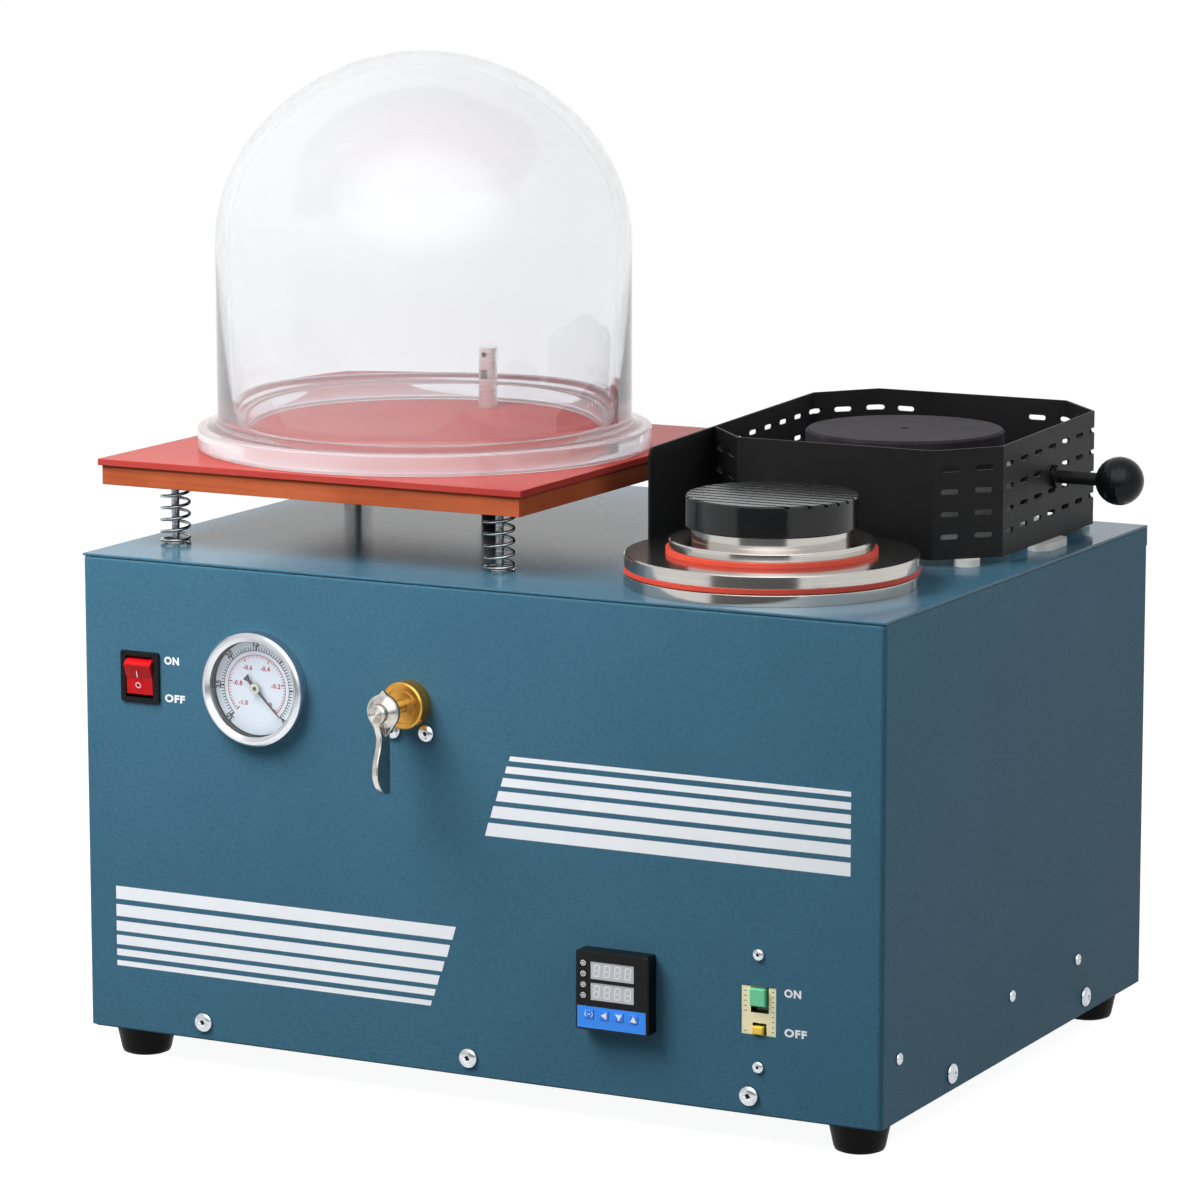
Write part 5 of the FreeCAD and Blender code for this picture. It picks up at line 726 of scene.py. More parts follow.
# Vacuum-formed ceramic fibre: chalky white with a felted relief.
FIBRE = Finish("pressed ceramic fibre", "ceramic_fibre", "#e2ddd2", "#d3cdbf", (0.85, 0.95), grain_mm=1.5,
               relief_mm=0.2, patch_mm=15.0)
# Fired ceramic tube: dull buff.
CERAMIC = Finish("fired ceramic tube", "heater_ceramic", "#c9b89c", "#b7a485", (0.6, 0.8), relief_mm=0.03,
                 patch_mm=12.0)
# Turned graphite: soft grey, half metallic.
GRAPHITE = Finish("turned graphite", "graphite", "#38383a", "#2b2b2d", (0.4, 0.6), 0.3, Grain.TURNED_UP,
                  0.6, 0.012, axis_node="crucible")
# Brushed machine enamel on castings: grey, faintly pebbled.
PUMP = Finish("grey machine enamel", "pump_paint", "#4a5157", "#40474d", (0.35, 0.5), grain_mm=1.5,
              relief_mm=0.03, edge_mm=0.6)
# Extruded rubber hose: dull black.
HOSE = Finish("black vacuum hose", "hose_rubber", "#1c1c1e", "#242426", (0.45, 0.6), relief_mm=0.01)
# Machined acetal: waxy white.
BUSH = Finish("white acetal bush", "bush_plastic", "#e4e3dd", "#d9d8d1", (0.3, 0.42), relief_mm=0.005,
              edge_mm=0.2, glow=0.1)
# Cast acrylic, 8 mm thick: clear with slow casting ripples and a trace of milkiness.
ACRYLIC = ClearSolid("clear cast acrylic", "clear_acrylic", "#f4f5f7", 1.49, 70.0, (0.0, 0.02), 0.94)
# The same acrylic where it is turned on a lathe: tool marks scatter the light and whiten it.
TURNED_ACRYLIC = ClearSolid("turned acrylic flange", "clear_acrylic", "#f4f5f8", 1.49, 3.0, (0.02, 0.08),
                            0.68)
# Flat float glass.
GLASS = ClearSolid("flat gauge glass", "lens_glass", "#fbfcfc", 1.45, 40.0, (0.0, 0.02), 1.0)
# Grey felt: it mirrors nothing, and bright metal mirrors it.
FELT = Finish("grey felt card", "", "#7a7a7a", "#848484", (0.9, 1.0), relief_mm=0.05, specular=0.0)
FLOOR = StudioFloor()


# ---- Pieces --------------------------------------------------------------------------------------


def placed(name: str, data: bpy.types.ID) -> bpy.types.Object:
    """A new object at the origin, linked to the scene.

    Args:
        name: Its name.
        data: Its mesh, light or camera.

    Returns:
        The object.
    """
    thing = bpy.data.objects.new(name, data)
    bpy.context.scene.collection.objects.link(thing)
    return thing


class Bench:
    """Makes materials once, dresses CAD nodes, and turns surfaces into pieces that ride on bodies."""

    def __init__(self) -> None:
        """Starts with no materials."""
        self.made: dict[str, bpy.types.Material] = {}

    def material(self, finish: Finish | ClearSolid | StudioFloor) -> bpy.types.Material:
        """The material of a finish, built the first time it is asked for.

        Args:
            finish: The finish.

        Returns:
            The material, named like the finish.
        """
        if finish.name not in self.made:
            material = bpy.data.materials.new(finish.name)
            material.use_nodes = True
            shade = Shade(material.node_tree)
            shade.add("OutputMaterial", {"Surface": finish.build(shade)})
            self.made[finish.name] = material
        return self.made[finish.name]

    def dress(self, looks: dict[Finish | ClearSolid, str]) -> None:
        """Gives CAD nodes their finishes.

        Args:
            looks: Each finish with the names of its nodes, one space apart.
        """
        for finish, names in looks.items():
            for name in names.split():
                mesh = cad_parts[name].data
                mesh.materials.clear()
                mesh.materials.append(self.material(finish))
                LOG.info("dressed %s: %s", name, finish.name)

    def piece(
        self, name: str, surface: Surface, finish: Finish | ClearSolid, body: str, solid: bool = False
    ) -> bpy.types.Object:
        """A mesh object at the origin, unturned and unscaled, that rides on a body.

        Args:
            name: The piece's name.
            surface: Its points and faces.
            finish: Its material.
            body: The body that it rides on.
            solid: True for a closed form: it is shaded smooth and its faces are turned outwards.

        Returns:
            The piece.
        """
        mesh = bpy.data.meshes.new(name)
        mesh.from_pydata(surface.points.tolist(), [], surface.faces)
        shell = bmesh.new()
        shell.from_mesh(mesh)
        bmesh.ops.remove_doubles(shell, verts=shell.verts, dist=WELD)
        if solid:
            bmesh.ops.recalc_face_normals(shell, faces=shell.faces)
        shell.to_mesh(mesh)
        shell.free()
        mesh.polygons.foreach_set("use_smooth", [solid] * len(mesh.polygons))
        mesh.materials.append(self.material(finish))
        thing = placed(name, mesh)
        LOG.info("built %s: %d faces", name, len(mesh.polygons))
        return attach(thing, body)

    def print_words(self, name: str, words: tuple[tuple[str, float, float, float], ...]) -> None:
        """Prints words on the front panel.

        Args:
            name: The piece's name.
            words: Each word with its place from the panel's lower left corner, and its width.
        """
        panel = front_panel().moved(0, 0, PRINT_PROUD)
        letters = [text_surface(text, LETTER_HEIGHT, panel.moved(x, y), LETTER_BOLD, width)
                   for text, x, y, width in words]
        self.piece(name, Surface.joined(letters), PRINT, "cabinet")


@dataclass
class SubAssembly(ABC):
    """A group of pieces that a maker would build together.

    Attributes:
        bench: Where materials and pieces are made.
    """

    bench: Bench

    @abstractmethod
    def build(self) -> None:
        """Dresses the sub-assembly's CAD nodes and builds its fine pieces."""


@dataclass
class RecessedScrews(SubAssembly):
    """Domed heads with a six-lobed recess, in place of a CAD node's plain heads.

    Attributes:
        node: The CAD node of screws.
        radius: Radius of a head.
        height: Height of a head.
        recess: Mean radius of its recess.
        depth: Depth of its recess, as a share of the height.
        rim: Height of its straight rim, as a share of the height.
        lobes: How many lobes the recess has.
        swell: How far they swell, as a share of its mean radius.
        foot: Where the recess's floor ends and where its rounded foot ends, as shares of its outline.
        slope: Level difference across the floor, and again across the foot.
        recess_shade: Radius of the painted shade disc as a share of the recess's, and how far it lies over
            its floor.
        dome_steps: Steps from the recess's edge to the head's.
        tolerance: How closely a screw's width tells its head.
        sides: Steps round a head.
    """

    node: str = "large_screws"
    radius: float = 6.2
    height: float = 3.2
    recess: float = 1.9
    depth: float = 0.75
    rim: float = 0.3
    lobes: int = 6
    swell: float = 0.16
    foot: tuple[float, float] = (0.75, 0.98)
    slope: float = 0.1
    recess_shade: tuple[float, float] = (0.95, 0.2)
    dome_steps: int = 10
    tolerance: float = 0.2
    sides: int = 48

    def build(self) -> None:
        """Builds the heads, and discs of painted shade on the floors of their recesses."""
        self.bench.dress({ZINC: self.node})
        places = self.places()
        heads = Surface.joined([self.head(plane) for plane in places])
        piece = self.bench.piece(self.node + "_heads", heads, ZINC, "cabinet", solid=True)
        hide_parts(self.node)
        # Each recess's floor gets a dark disc of painted shade.
        shaded_floors = Surface.joined([self.floor(plane) for plane in places])
        self.bench.piece(self.node + "_recess_shade", shaded_floors, RECESS_SHADE, "cabinet")

    def places(self) -> list[Plane]:
        """Where each head stands, read from the node's separate solids.

        Returns:
            One plane per screw, at the foot of its head.
        """
        mesh = bmesh.new()
        mesh.from_mesh(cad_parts[self.node].data)
        bmesh.ops.remove_doubles(mesh, verts=mesh.verts, dist=WELD)
        left, groups = set(mesh.verts), []
        while left:
            group, front = [], [left.pop()]
            while front:
                vertex = front.pop()
                group.append(tuple(vertex.co))
                near = {edge.other_vert(vertex) for edge in vertex.link_edges} & left
                left -= near
                front += near
            groups.append(np.array(group))
        mesh.free()
        return [self.seat(points) for points in sorted(groups, key=lambda points: tuple(points.min(axis=0)))]

    def seat(self, points: np.ndarray) -> Plane:
        """The foot of one head: its axis is the one across which the screw is as wide as no head.

        Args:
            points: The screw's points.

        Returns:
            The plane that the head stands on.
        """
        low, high = points.min(axis=0), points.max(axis=0)
        axis = int(np.argmin(np.abs(high - low - 2 * self.radius * MM) < self.tolerance * MM))
        base = (low + high) / 2
        sign = 1.0 if base[axis] > centre_of("top_cover")[axis] else -1.0
        out = np.zeros(3)
        out[axis] = sign
        base[axis] = (high if sign > 0 else low)[axis] - sign * self.height * MM
        return Plane(base, np.cross(UP, out), UP, out)

    def star(self) -> tuple[np.ndarray, np.ndarray]:
        """The recess's outline, r = recess (1 + swell cos(lobes a)): its radii and angles."""
        angles = np.linspace(0, FULL_TURN, self.sides, endpoint=False)
        return self.recess * (1 + self.swell * np.cos(self.lobes * angles)), angles

    def head(self, plane: Plane) -> Surface:
        """One head with a star for its recess, and an elliptic dome: z = rise sqrt(1 - (r / radius)^2).

        Args:
            plane: The foot of the head.

        Returns:
            The head as a closed surface.
        """
        edge, angles = self.star()
        floor = self.height * (1 - self.depth)
        rim = self.rim * self.height
        middle = np.zeros_like(edge)
        rings = [(middle, floor - self.slope)]
        rings += [(edge * self.foot[0], floor), (edge * self.foot[1], floor + self.slope)]
        for share in np.linspace(0.0, 1.0, self.dome_steps):
            r = edge + (self.radius - edge) * share
            dome = np.sqrt(np.clip(1 - (r / self.radius) ** 2, 0, None))
            rings.append((r, rim + (self.height - rim) * dome))
        rings += [(np.full_like(edge, self.radius), 0.0), (middle, 0.0)]
        rows = [np.column_stack([polar(r, angles), np.broadcast_to(z, r.shape)]) for r, z in rings]
        return Surface.grid(np.stack([plane.lift(row) for row in rows]), around=True)

    def floor(self, plane: Plane) -> Surface:
        """Painted shade on the floor of a recess: a dark disc whose radius follows the star's, a little
        smaller.

        Args:
            plane: The foot of the head.

        Returns:
            The disc.
        """
        edge, angles = self.star()
        share, over = self.recess_shade
        level = self.height * (1 - self.depth) + over
        return Surface.flat(plane.moved(0, 0, level), polar(share * edge, angles))


@dataclass
class Enclosure(SubAssembly):
    """The cabinet: enamelled sheets, feet, screws, and the stripes printed on its front.

    Attributes:
        left: Where the lower bands start, from the panel's left edge.
        right: Where the upper bands end.
        slant: Slope of the bands' slanted ends.
        lower: Bottom, top and far end of each lower band.
        upper: Bottom, top and near end of each upper band.
    """

    left: float = 20.2
    right: float = 519.3
    slant: float = 0.28
    lower: tuple[tuple[float, float, float], ...] = (
        (82.8, 91.0, 260.5), (71.9, 79.5, 256.6), (62.6, 69.0, 252.7),
        (54.0, 60.0, 249.4), (47.0, 51.2, 246.6), (40.6, 43.9, 243.9),
    )
    upper: tuple[tuple[float, float, float], ...] = (
        (195.6, 198.5, 297.9), (188.0, 192.3, 295.5), (179.8, 185.1, 293.0),
        (170.6, 176.9, 289.9), (160.2, 167.5, 286.4), (148.9, 157.0, 283.0),
    )

    def build(self) -> None:
        """Dresses the cabinet, prints its stripes and sets its screws."""
        self.bench.dress({
            ENAMEL: "cabinet_shell rear_panel base_tray", COVER: "top_cover", FOOT: "rubber_feet",
            ZINC: "foot_screws",
        })
        self.bench.piece("stripes", self.stripes(), PRINT, "cabinet")
        RecessedScrews(self.bench).build()
        RecessedScrews(self.bench, "small_screws", radius=3.7, height=2.3, recess=1.25).build()

    def stripes(self) -> Surface:
        """Two groups of bands, straight at one end and slanted at the other: x moves by slant for each y.

        Returns:
            The bands, just proud of the panel.
        """
        panel = front_panel().moved(0, 0, PRINT_PROUD)
        bands = []
        for group, edge in ((self.lower, self.left), (self.upper, self.right)):
            for low, high, end in group:
                near = end - self.slant * (high - low)
                corners = [[edge, low], [near, low], [end, high], [edge, high]]
                bands.append(Surface.flat(panel, np.array(corners if edge < end else corners[::-1])))
        return Surface.joined(bands)


@dataclass
class ShakeTable(SubAssembly):
    """The sprung table: board, pad, vacuum post, guide bolts, bushes and four wound springs.

    Attributes:
        flange: Distance of a spring's axis from the bushes' outer edge.
        wire: Radius of the wire.
        coil: Radius of a coil.
        turns: Turns in a spring.
        closed: Turns at each end that lie flat on each other.
        steps: Steps along the wire.
        rib: Height of a rib on the table's hose.
        rib_pitch: Distance between its ribs.
        rib_steps: Steps along each rib.
        hose_sides: Steps round the hose.
    """

    flange: float = 8.0
    wire: float = 1.0
    coil: float = 8.75
    turns: float = 6.5
    closed: float = 1.0
    steps: int = 420
    rib: float = 0.5
    rib_pitch: float = 4.0
    rib_steps: int = 8
    hose_sides: int = 40

    def build(self) -> None:
        """Dresses the table, winds its springs and ribs its hose."""
        self.bench.dress({
            BOARD: "table_board", PAD: "table_pad", POST: "vacuum_post", BOLT: "guide_bolts",
            BUSH: "guide_bushes", SPRING: "table_springs",
        })
        cover, board = box_of("top_cover")[1][2], box_of("table_board")[0][2]
        piece = self.bench.piece("wound_springs", self.springs(cover, board), SPRING, "cabinet", solid=True)
        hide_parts("table_springs")
        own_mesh(piece)
        low, high = box_of("table_hose")
        radius, height = (high[0] - low[0]) / 2 / MM, (high[2] - low[2]) / MM
        side = Surface.revolved(foot_of("table_hose"), self.ribs(radius, height), self.hose_sides)
        hose = self.bench.piece("ribbed_hose", side, HOSE, "cabinet", solid=True)
        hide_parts("table_hose")
        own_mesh(hose)

    def ribs(self, radius: float, height: float) -> np.ndarray:
        """The hose's side: r = radius - rib (1 - cos(z turns / pitch)) / 2, with a flat end below and above.

        Args:
            radius: The hose's radius over its ribs, in millimetres.
            height: Its height.

        Returns:
            Rows of (radius, height) from the middle of its lower end to the middle of its upper end.
        """
        z = np.linspace(0, height, self.rib_steps * int(height / self.rib_pitch))
        r = radius - self.rib * (1 - np.cos(FULL_TURN * z / self.rib_pitch)) / 2
        return np.vstack([[0.0, 0.0], np.column_stack([r, z]), [0.0, height]])

    def springs(self, cover: float, board: float) -> Surface:
        """Four coils: (coil cos a, coil sin a, h), where h climbs a wire's width a turn in the closed ends.

        Args:
            cover: Height of the cabinet's cover in metres.
            board: Height of the board's underside in metres.

        Returns:
            The four wires.
        """
        t = np.linspace(0, self.turns, self.steps)
        free = (board - cover) / MM - 2 * self.wire
        even = (free - 4 * self.wire * self.closed) / (self.turns - 2 * self.closed)
        pitch = np.where((t < self.closed) | (t > self.turns - self.closed), 2 * self.wire, even)
        height = np.concatenate([[0], np.cumsum((pitch[1:] + pitch[:-1]) / 2 * np.diff(t))])
        height *= free / height[-1]
        path = np.column_stack([polar(self.coil, FULL_TURN * t), height + self.wire])
        low, high = box_of("guide_bushes")
        inset = self.flange * MM
        coils = []
        for x in (low[0] + inset, high[0] - inset):
            for y in (low[1] + inset, high[1] - inset):
                coils.append(Surface.wire(np.array([x, y, cover]) + path * MM, self.wire * MM))
        return Surface.joined(coils)


@dataclass
class BellJar(SubAssembly):
    """The bell jar as one smooth clear solid.

    Attributes:
        bore: Inner radius of its straight wall.
        wall: Thickness of its wall and dome.
        mouth: Radius of the hole in its flange.
        flange: Thickness of its flange.
        shoulder: Height where the wall ends and the dome starts.
        knuckle: Radius of the dome's lower arc.
        crown: Radius of the dome's upper arc.
        root: Radius between wall and flange.
        edge: Radius of the flange's upper edge.
        lip: Radius of its lower edge.
        turned: How far above the flange its turned finish ends.
        steps: Steps along the dome's lower and upper arcs.
        sides: Steps round the jar.
    """

    bore: float = 122.0
    wall: float = 8.0
    mouth: float = 115.0
    flange: float = 13.0
    shoulder: float = 126.0
    knuckle: float = 110.0
    crown: float = 135.0
    root: float = 8.0
    edge: float = 1.5
    lip: float = 0.8
    turned: float = 0.1
    steps: tuple[int, int] = (24, 30)
    sides: int = 240

    def build(self) -> None:
        """Builds the smooth jar in place of the CAD node."""
        self.bench.dress({ACRYLIC: "bell_jar"})
        low, high = box_of("bell_jar")
        stand = foot_of("bell_jar")
        shell = Surface.revolved(stand, self.profile((high[0] - low[0]) / 2 / MM), self.sides)
        piece = self.bench.piece("smooth_jar", shell, ACRYLIC, "bell_jar", solid=True)
        piece.data.materials.append(self.bench.material(TURNED_ACRYLIC))
        top, rim = (self.flange + self.turned) * MM, (self.bore + self.wall) * MM
        away = [p.center - Vector(stand.origin) for p in piece.data.polygons]
        slots = [int(v.z < top and v.xy.length > rim) for v in away]
        piece.data.polygons.foreach_set("material_index", slots)
        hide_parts("bell_jar")

    def dome(self, inset: float) -> np.ndarray:
        """The dome's two arcs, which share a tangent where they meet, thinned by an inset.

        Args:
            inset: 0 for the outer face, the wall's thickness for the inner.

        Returns:
            Rows of (radius, height) from the wall to the axis.
        """
        offset = self.bore + self.wall - self.knuckle
        drop = math.sqrt((self.crown - self.knuckle) ** 2 - offset**2)
        meet = math.degrees(math.atan2(drop, offset))
        low = arc((offset, self.shoulder), self.knuckle - inset, 0, meet, self.steps[0])
        high = arc((0, self.shoulder - drop), self.crown - inset, meet, 90, self.steps[1])
        return np.vstack([low, high[1:]])

    def profile(self, flange_r: float) -> np.ndarray:
        """The jar's closed section: lip, flange edge, root, outer dome, inner dome, and down to the mouth.

        Args:
            flange_r: Outer radius of the flange.

        Returns:
            Rows of (radius, height) with the first repeated at the end.
        """
        outer = self.bore + self.wall
        lip = arc((flange_r - self.lip, self.lip), self.lip, 270, 360, steps=3)
        edge = arc((flange_r - self.edge, self.flange - self.edge), self.edge, 0, 90, steps=5)
        root = arc((outer + self.root, self.flange + self.root), self.root, 270, 180, steps=8)
        mouth = arc((self.mouth + self.edge, self.flange - self.edge), self.edge, 90, 180, steps=5)
        base = arc((self.mouth + self.lip, self.lip), self.lip, 180, 270, steps=3)
        fillet = self.root / 4
        corner = arc((self.bore - fillet, self.flange + fillet), fillet, 0, -90, steps=4)
        inside = self.dome(self.wall)[::-1]
        return np.vstack([lip, edge, root, self.dome(0.0), inside, corner, mouth, base, lip[:1]])


@dataclass
class CastingChamber(SubAssembly):
    """The casting chamber: pot, flanges, gaskets, flask ring and its black cover."""

    def build(self) -> None:
        """Dresses the chamber's nodes."""
        self.bench.dress({
            FLANGE: "chamber_flange adapter_plate flask_ring chamber_pot",
            GASKET: "lower_gasket upper_gasket", DISC: "chamber_cover",
        })


@dataclass
class Furnace(SubAssembly):
    """The furnace and the slotted guard round it."""

    def build(self) -> None:
        """Dresses the furnace's nodes."""
        self.bench.dress({
            CAN: "furnace_can", FIBRE: "furnace_lining", CERAMIC: "furnace_heater", GRAPHITE: "crucible",
            LID: "furnace_lid", GUARD: "guard_sheet guard_handle", BUSH: "guard_spacers",
            BALL: "guard_ball",
        })


@dataclass
class RockerSwitch(SubAssembly):
    """The lit rocker switch and the words beside it.

    Attributes:
        words: Each word with its place from the panel's lower left corner, and its width.
        stroke: Width and height of the on mark.
        stroke_up: How far it stands above the face's middle.
        ring: Inner and outer radius of the off mark.
        ring_down: How far it stands below the face's middle.
        pressed: How far below the middle of the housing the pressed end lies, and how far behind its front.
        crest: How near to the rocker's frontmost point a point counts as on its ridge.
        proud: How far the marks stand off the plane from the ridge to the pressed end, for the face's bulge.
    """

    words: tuple[tuple[str, float, float, float], ...] = (
        ("ON", 63.2, 235.8, 10.5), ("OFF", 65.2, 212.5, 14.4),
    )
    stroke: tuple[float, float] = (0.55, 4.0)
    stroke_up: float = 3.2
    ring: tuple[float, float] = (1.4, 1.9)
    ring_down: float = 4.0
    pressed: tuple[float, float] = (9.4, 0.4)
    crest: float = 0.05
    proud: float = 0.75

    def build(self) -> None:
        """Dresses the switch and prints its words and marks."""
        self.bench.dress({BLACK: "rocker_housing", ROCKER: "rocker"})
        self.bench.print_words("rocker_words", self.words)
        face = self.face()
        stroke = Surface.flat(face.moved(0.0, self.stroke_up), bar(0, 0, *self.stroke))
        ring = Surface.band(face.moved(0.0, -self.ring_down), *self.ring)
        self.bench.piece("rocker_marks", Surface.joined([stroke, ring]), PRINT, "rocker")

    def face(self) -> Plane:
        """The rocker's long sloping face, from its proud ridge down to the pressed end.

        Returns:
            A plane just proud of the face, about its middle.
        """
        low, high = box_of("rocker")
        points = np.array([v.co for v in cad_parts["rocker"].data.vertices])
        ridge = points[points[:, 1] < low[1] + self.crest * MM].mean(axis=0)
        ridge[0] = (low[0] + high[0]) / 2
        housing = front_of("rocker_housing").origin
        down, back = self.pressed
        foot = np.array([ridge[0], housing[1] + back * MM, housing[2] - down * MM])
        up = (ridge - foot) / np.linalg.norm(ridge - foot)
        out = np.cross(RIGHT, up)
        return Plane((ridge + foot) / 2 + out * self.proud * MM, RIGHT, up, out)


@dataclass(frozen=True)
class Scale:
    """One ring of ticks and numbers on the gauge's dial.

    Attributes:
        finish: Its ink.
        line: Radius of the circle that the ticks stand on.
        side: 1 for ticks outside the circle, -1 for inside.
        ticks: How many ticks the sweep has.
        long_every: Every how many ticks one is long.
        lengths: Length of a long and a short tick.
        widths: Width of a long and a short tick.
        labels: The numbers, evenly round the sweep.
        label_r: Radius of the numbers' middles.
        label_height: Height of the numbers.
        radial: True if the numbers turn with the dial.
        bold: How far the numbers' strokes are fattened.
    """

    finish: Finish
    line: float
    side: int
    ticks: int
    long_every: int
    lengths: tuple[float, float]
    widths: tuple[float, float]
    labels: tuple[str, ...]
    label_r: float
    label_height: float
    radial: bool
    bold: float = 0.04


@dataclass
class VacuumGauge(SubAssembly):
    """The dial gauge: black scale outside, red inside, needle with its cap, and a flat glass.

    Attributes:
        zero: Angle of the scale's zero in degrees.
        sweep: Angle from zero to full scale.
        circle: Width of the circles that the ticks stand on.
        outer: The black scale.
        inner: The red scale.
        seat: Inner and outer radius of a black ring of painted shade on the dial's rim, where the bezel meets
            it.
        cap_r: Radius of the needle's cap.
        cap_edge: Radius of the cap's rounded edge, and how far back its rear lies.
        cap_hollow: Radius and height along the hollow in its middle.
        pivot: Radius and height along the section of the pivot in the hollow.
    """

    zero: float = -45.0
    sweep: float = 270.0
    circle: float = 0.4
    outer: Scale = Scale(
        INK, 22.9, 1, 60, 10, (3.4, 2.2), (1.1, 0.55),
        ("0", "5", "10", "15", "20", "25", "30"), 27.1, 3.7, True,
    )
    inner: Scale = Scale(
        RED_INK, 20.2, -1, 50, 10, (2.8, 1.7), (0.8, 0.42),
        ("0", "-0.2", "-0.4", "-0.6", "-0.8", "-1.0"), 13.6, 3.0, False,
    )
    seat: tuple[float, float] = (29.0, 30.4)
    cap_r: float = 3.4
    cap_edge: float = 0.5
    cap_hollow: tuple[tuple[float, float], ...] = ((1.3, 0.2), (1.1, -0.2), (0.0, -0.2))
    pivot: tuple[tuple[float, float], ...] = ((0.0, -0.25), (0.8, -0.25), (0.8, 0.1), (0.0, 0.15))

    def build(self) -> None:
        """Dresses the gauge, prints both scales and sets the needle's cap."""
        self.bench.dress({
            BLACK: "gauge_case", BEZEL: "gauge_bezel", DIAL: "gauge_dial", NEEDLE: "gauge_needle",
            GLASS: "gauge_lens",
        })
        dial = front_of("gauge_dial").moved(0, 0, PRINT_PROUD)
        for name, scale in (("outer_scale", self.outer), ("inner_scale", self.inner)):
            self.bench.piece(name, self.scale(dial, scale), scale.finish, "cabinet")
        # A black ring of painted shade round the dial's rim, where the bezel overhangs it.
        self.bench.piece("dial_rim_shade", Surface.band(dial, *self.seat), BLACK, "cabinet")
        low, _ = box_of("gauge_needle")
        hub = Plane(np.array([dial.origin[0], low[1], dial.origin[2]]), RIGHT, UP, -BACK)
        r, edge, top = self.cap_r, self.cap_edge, self.cap_hollow[0][1]
        rim = arc((r - edge, top - edge), edge, 0, 90, steps=4)
        cap = np.vstack([[0.0, -edge], [r, -edge], rim, self.cap_hollow])
        self.bench.piece("needle_cap", Surface.revolved(hub, cap, sides=40), CAP, "gauge_needle", solid=True)
        pivot = Surface.revolved(hub, np.array(self.pivot), sides=20)
        self.bench.piece("needle_pivot", pivot, NEEDLE, "gauge_needle", solid=True)

    def scale(self, dial: Plane, scale: Scale) -> Surface:
        """A scale: tick i stands at zero + sweep i / ticks, and label k at zero + sweep k / (labels - 1).

        Args:
            dial: The dial's face about its middle.
            scale: Its sizes and numbers.

        Returns:
            Circle, ticks and numbers.
        """
        half = self.circle / 2
        parts = [Surface.band(dial, scale.line - half, scale.line + half, self.zero, self.zero + self.sweep)]
        for i in range(scale.ticks + 1):
            kind = 0 if i % scale.long_every == 0 else 1
            length, width = scale.lengths[kind], scale.widths[kind]
            spoke = dial.turned(self.zero + self.sweep * i / scale.ticks)
            parts.append(Surface.flat(spoke, bar(scale.line + scale.side * length / 2, 0, length, width)))
        for i, text in enumerate(scale.labels):
            angle = self.zero + self.sweep * i / (len(scale.labels) - 1)
            place = dial.turned(angle).moved(scale.label_r, 0).turned(-90 if scale.radial else -angle)
            parts.append(text_surface(text, scale.label_height, place, scale.bold))
        return Surface.joined(parts)


@dataclass
class ReleaseValve(SubAssembly):
    """The three-way valve: brass body and collar, and a nickelled lever with a ringed boss.

    Attributes:
        boss_out: How far the boss's face stands out from the panel.
        boss_r: The boss's radius.
        crest: Radius of the outermost ridge's crest on the boss.
        spacing: Distance from one crest to the next.
        ridge: Height of a ridge.
        foot: How far the ridges' feet stand out from the boss's face.
        dimple_r: Radius of the centre dimple.
        dimple: Depth of the dimple's wall, and how far its middle lies below that.
        taper: Radius at the wall's foot, as a share of the dimple's.
        back: How far in the back of the rings' cap lies.
        steps: Steps from the boss's edge to the dimple's.
        sides: Steps round the boss.
    """

    boss_out: float = 40.5
    boss_r: float = 5.2
    crest: float = 4.6
    spacing: float = 1.2
    ridge: float = 0.8
    foot: float = 0.1
    dimple_r: float = 1.0
    dimple: tuple[float, float] = (1.4, 0.3)
    taper: float = 0.9
    back: float = 2.2
    steps: int = 39
    sides: int = 56

    def build(self) -> None:
        """Dresses the valve, and turns the rings on its boss."""
        self.bench.dress({BRASS: "valve_collar valve_body", NICKEL: "valve_lever"})
        RecessedScrews(self.bench, "valve_screws", radius=5.4, height=3.4, recess=1.7).build()
        axis = centre_of("valve_collar")
        face = front_panel().origin[1] - self.boss_out * MM
        plane = Plane(np.array([axis[0], face, axis[2]]), RIGHT, UP, -BACK)
        cap = Surface.revolved(plane, self.rings(), self.sides)
        self.bench.piece("lever_boss_rings", cap, NICKEL, "valve_lever", solid=True)

    def rings(self) -> np.ndarray:
        """The boss's face, which stands out by foot + ridge (1 + cos(turns (r - crest) / spacing)) / 2.

        Returns:
            Rows of (radius, out) from the back of the cap to the bottom of the dimple.
        """
        r = np.linspace(self.boss_r, self.dimple_r, self.steps + 1)
        out = self.foot + self.ridge * (1 + np.cos(FULL_TURN * (r - self.crest) / self.spacing)) / 2
        depth, more = self.dimple
        bottom = [[self.dimple_r * self.taper, -depth], [0.0, -depth - more]]
        back = [[0.0, -self.back], [self.boss_r, -self.back]]
        return np.vstack([back, np.column_stack([r, out]), bottom])


class Symbol(Enum):
    """What is printed on a key: two bows round a dash, or an arrow, with its turn in degrees."""

    SET = None
    LEFT = 90.0
    DOWN = 180.0
    UP = 0.0


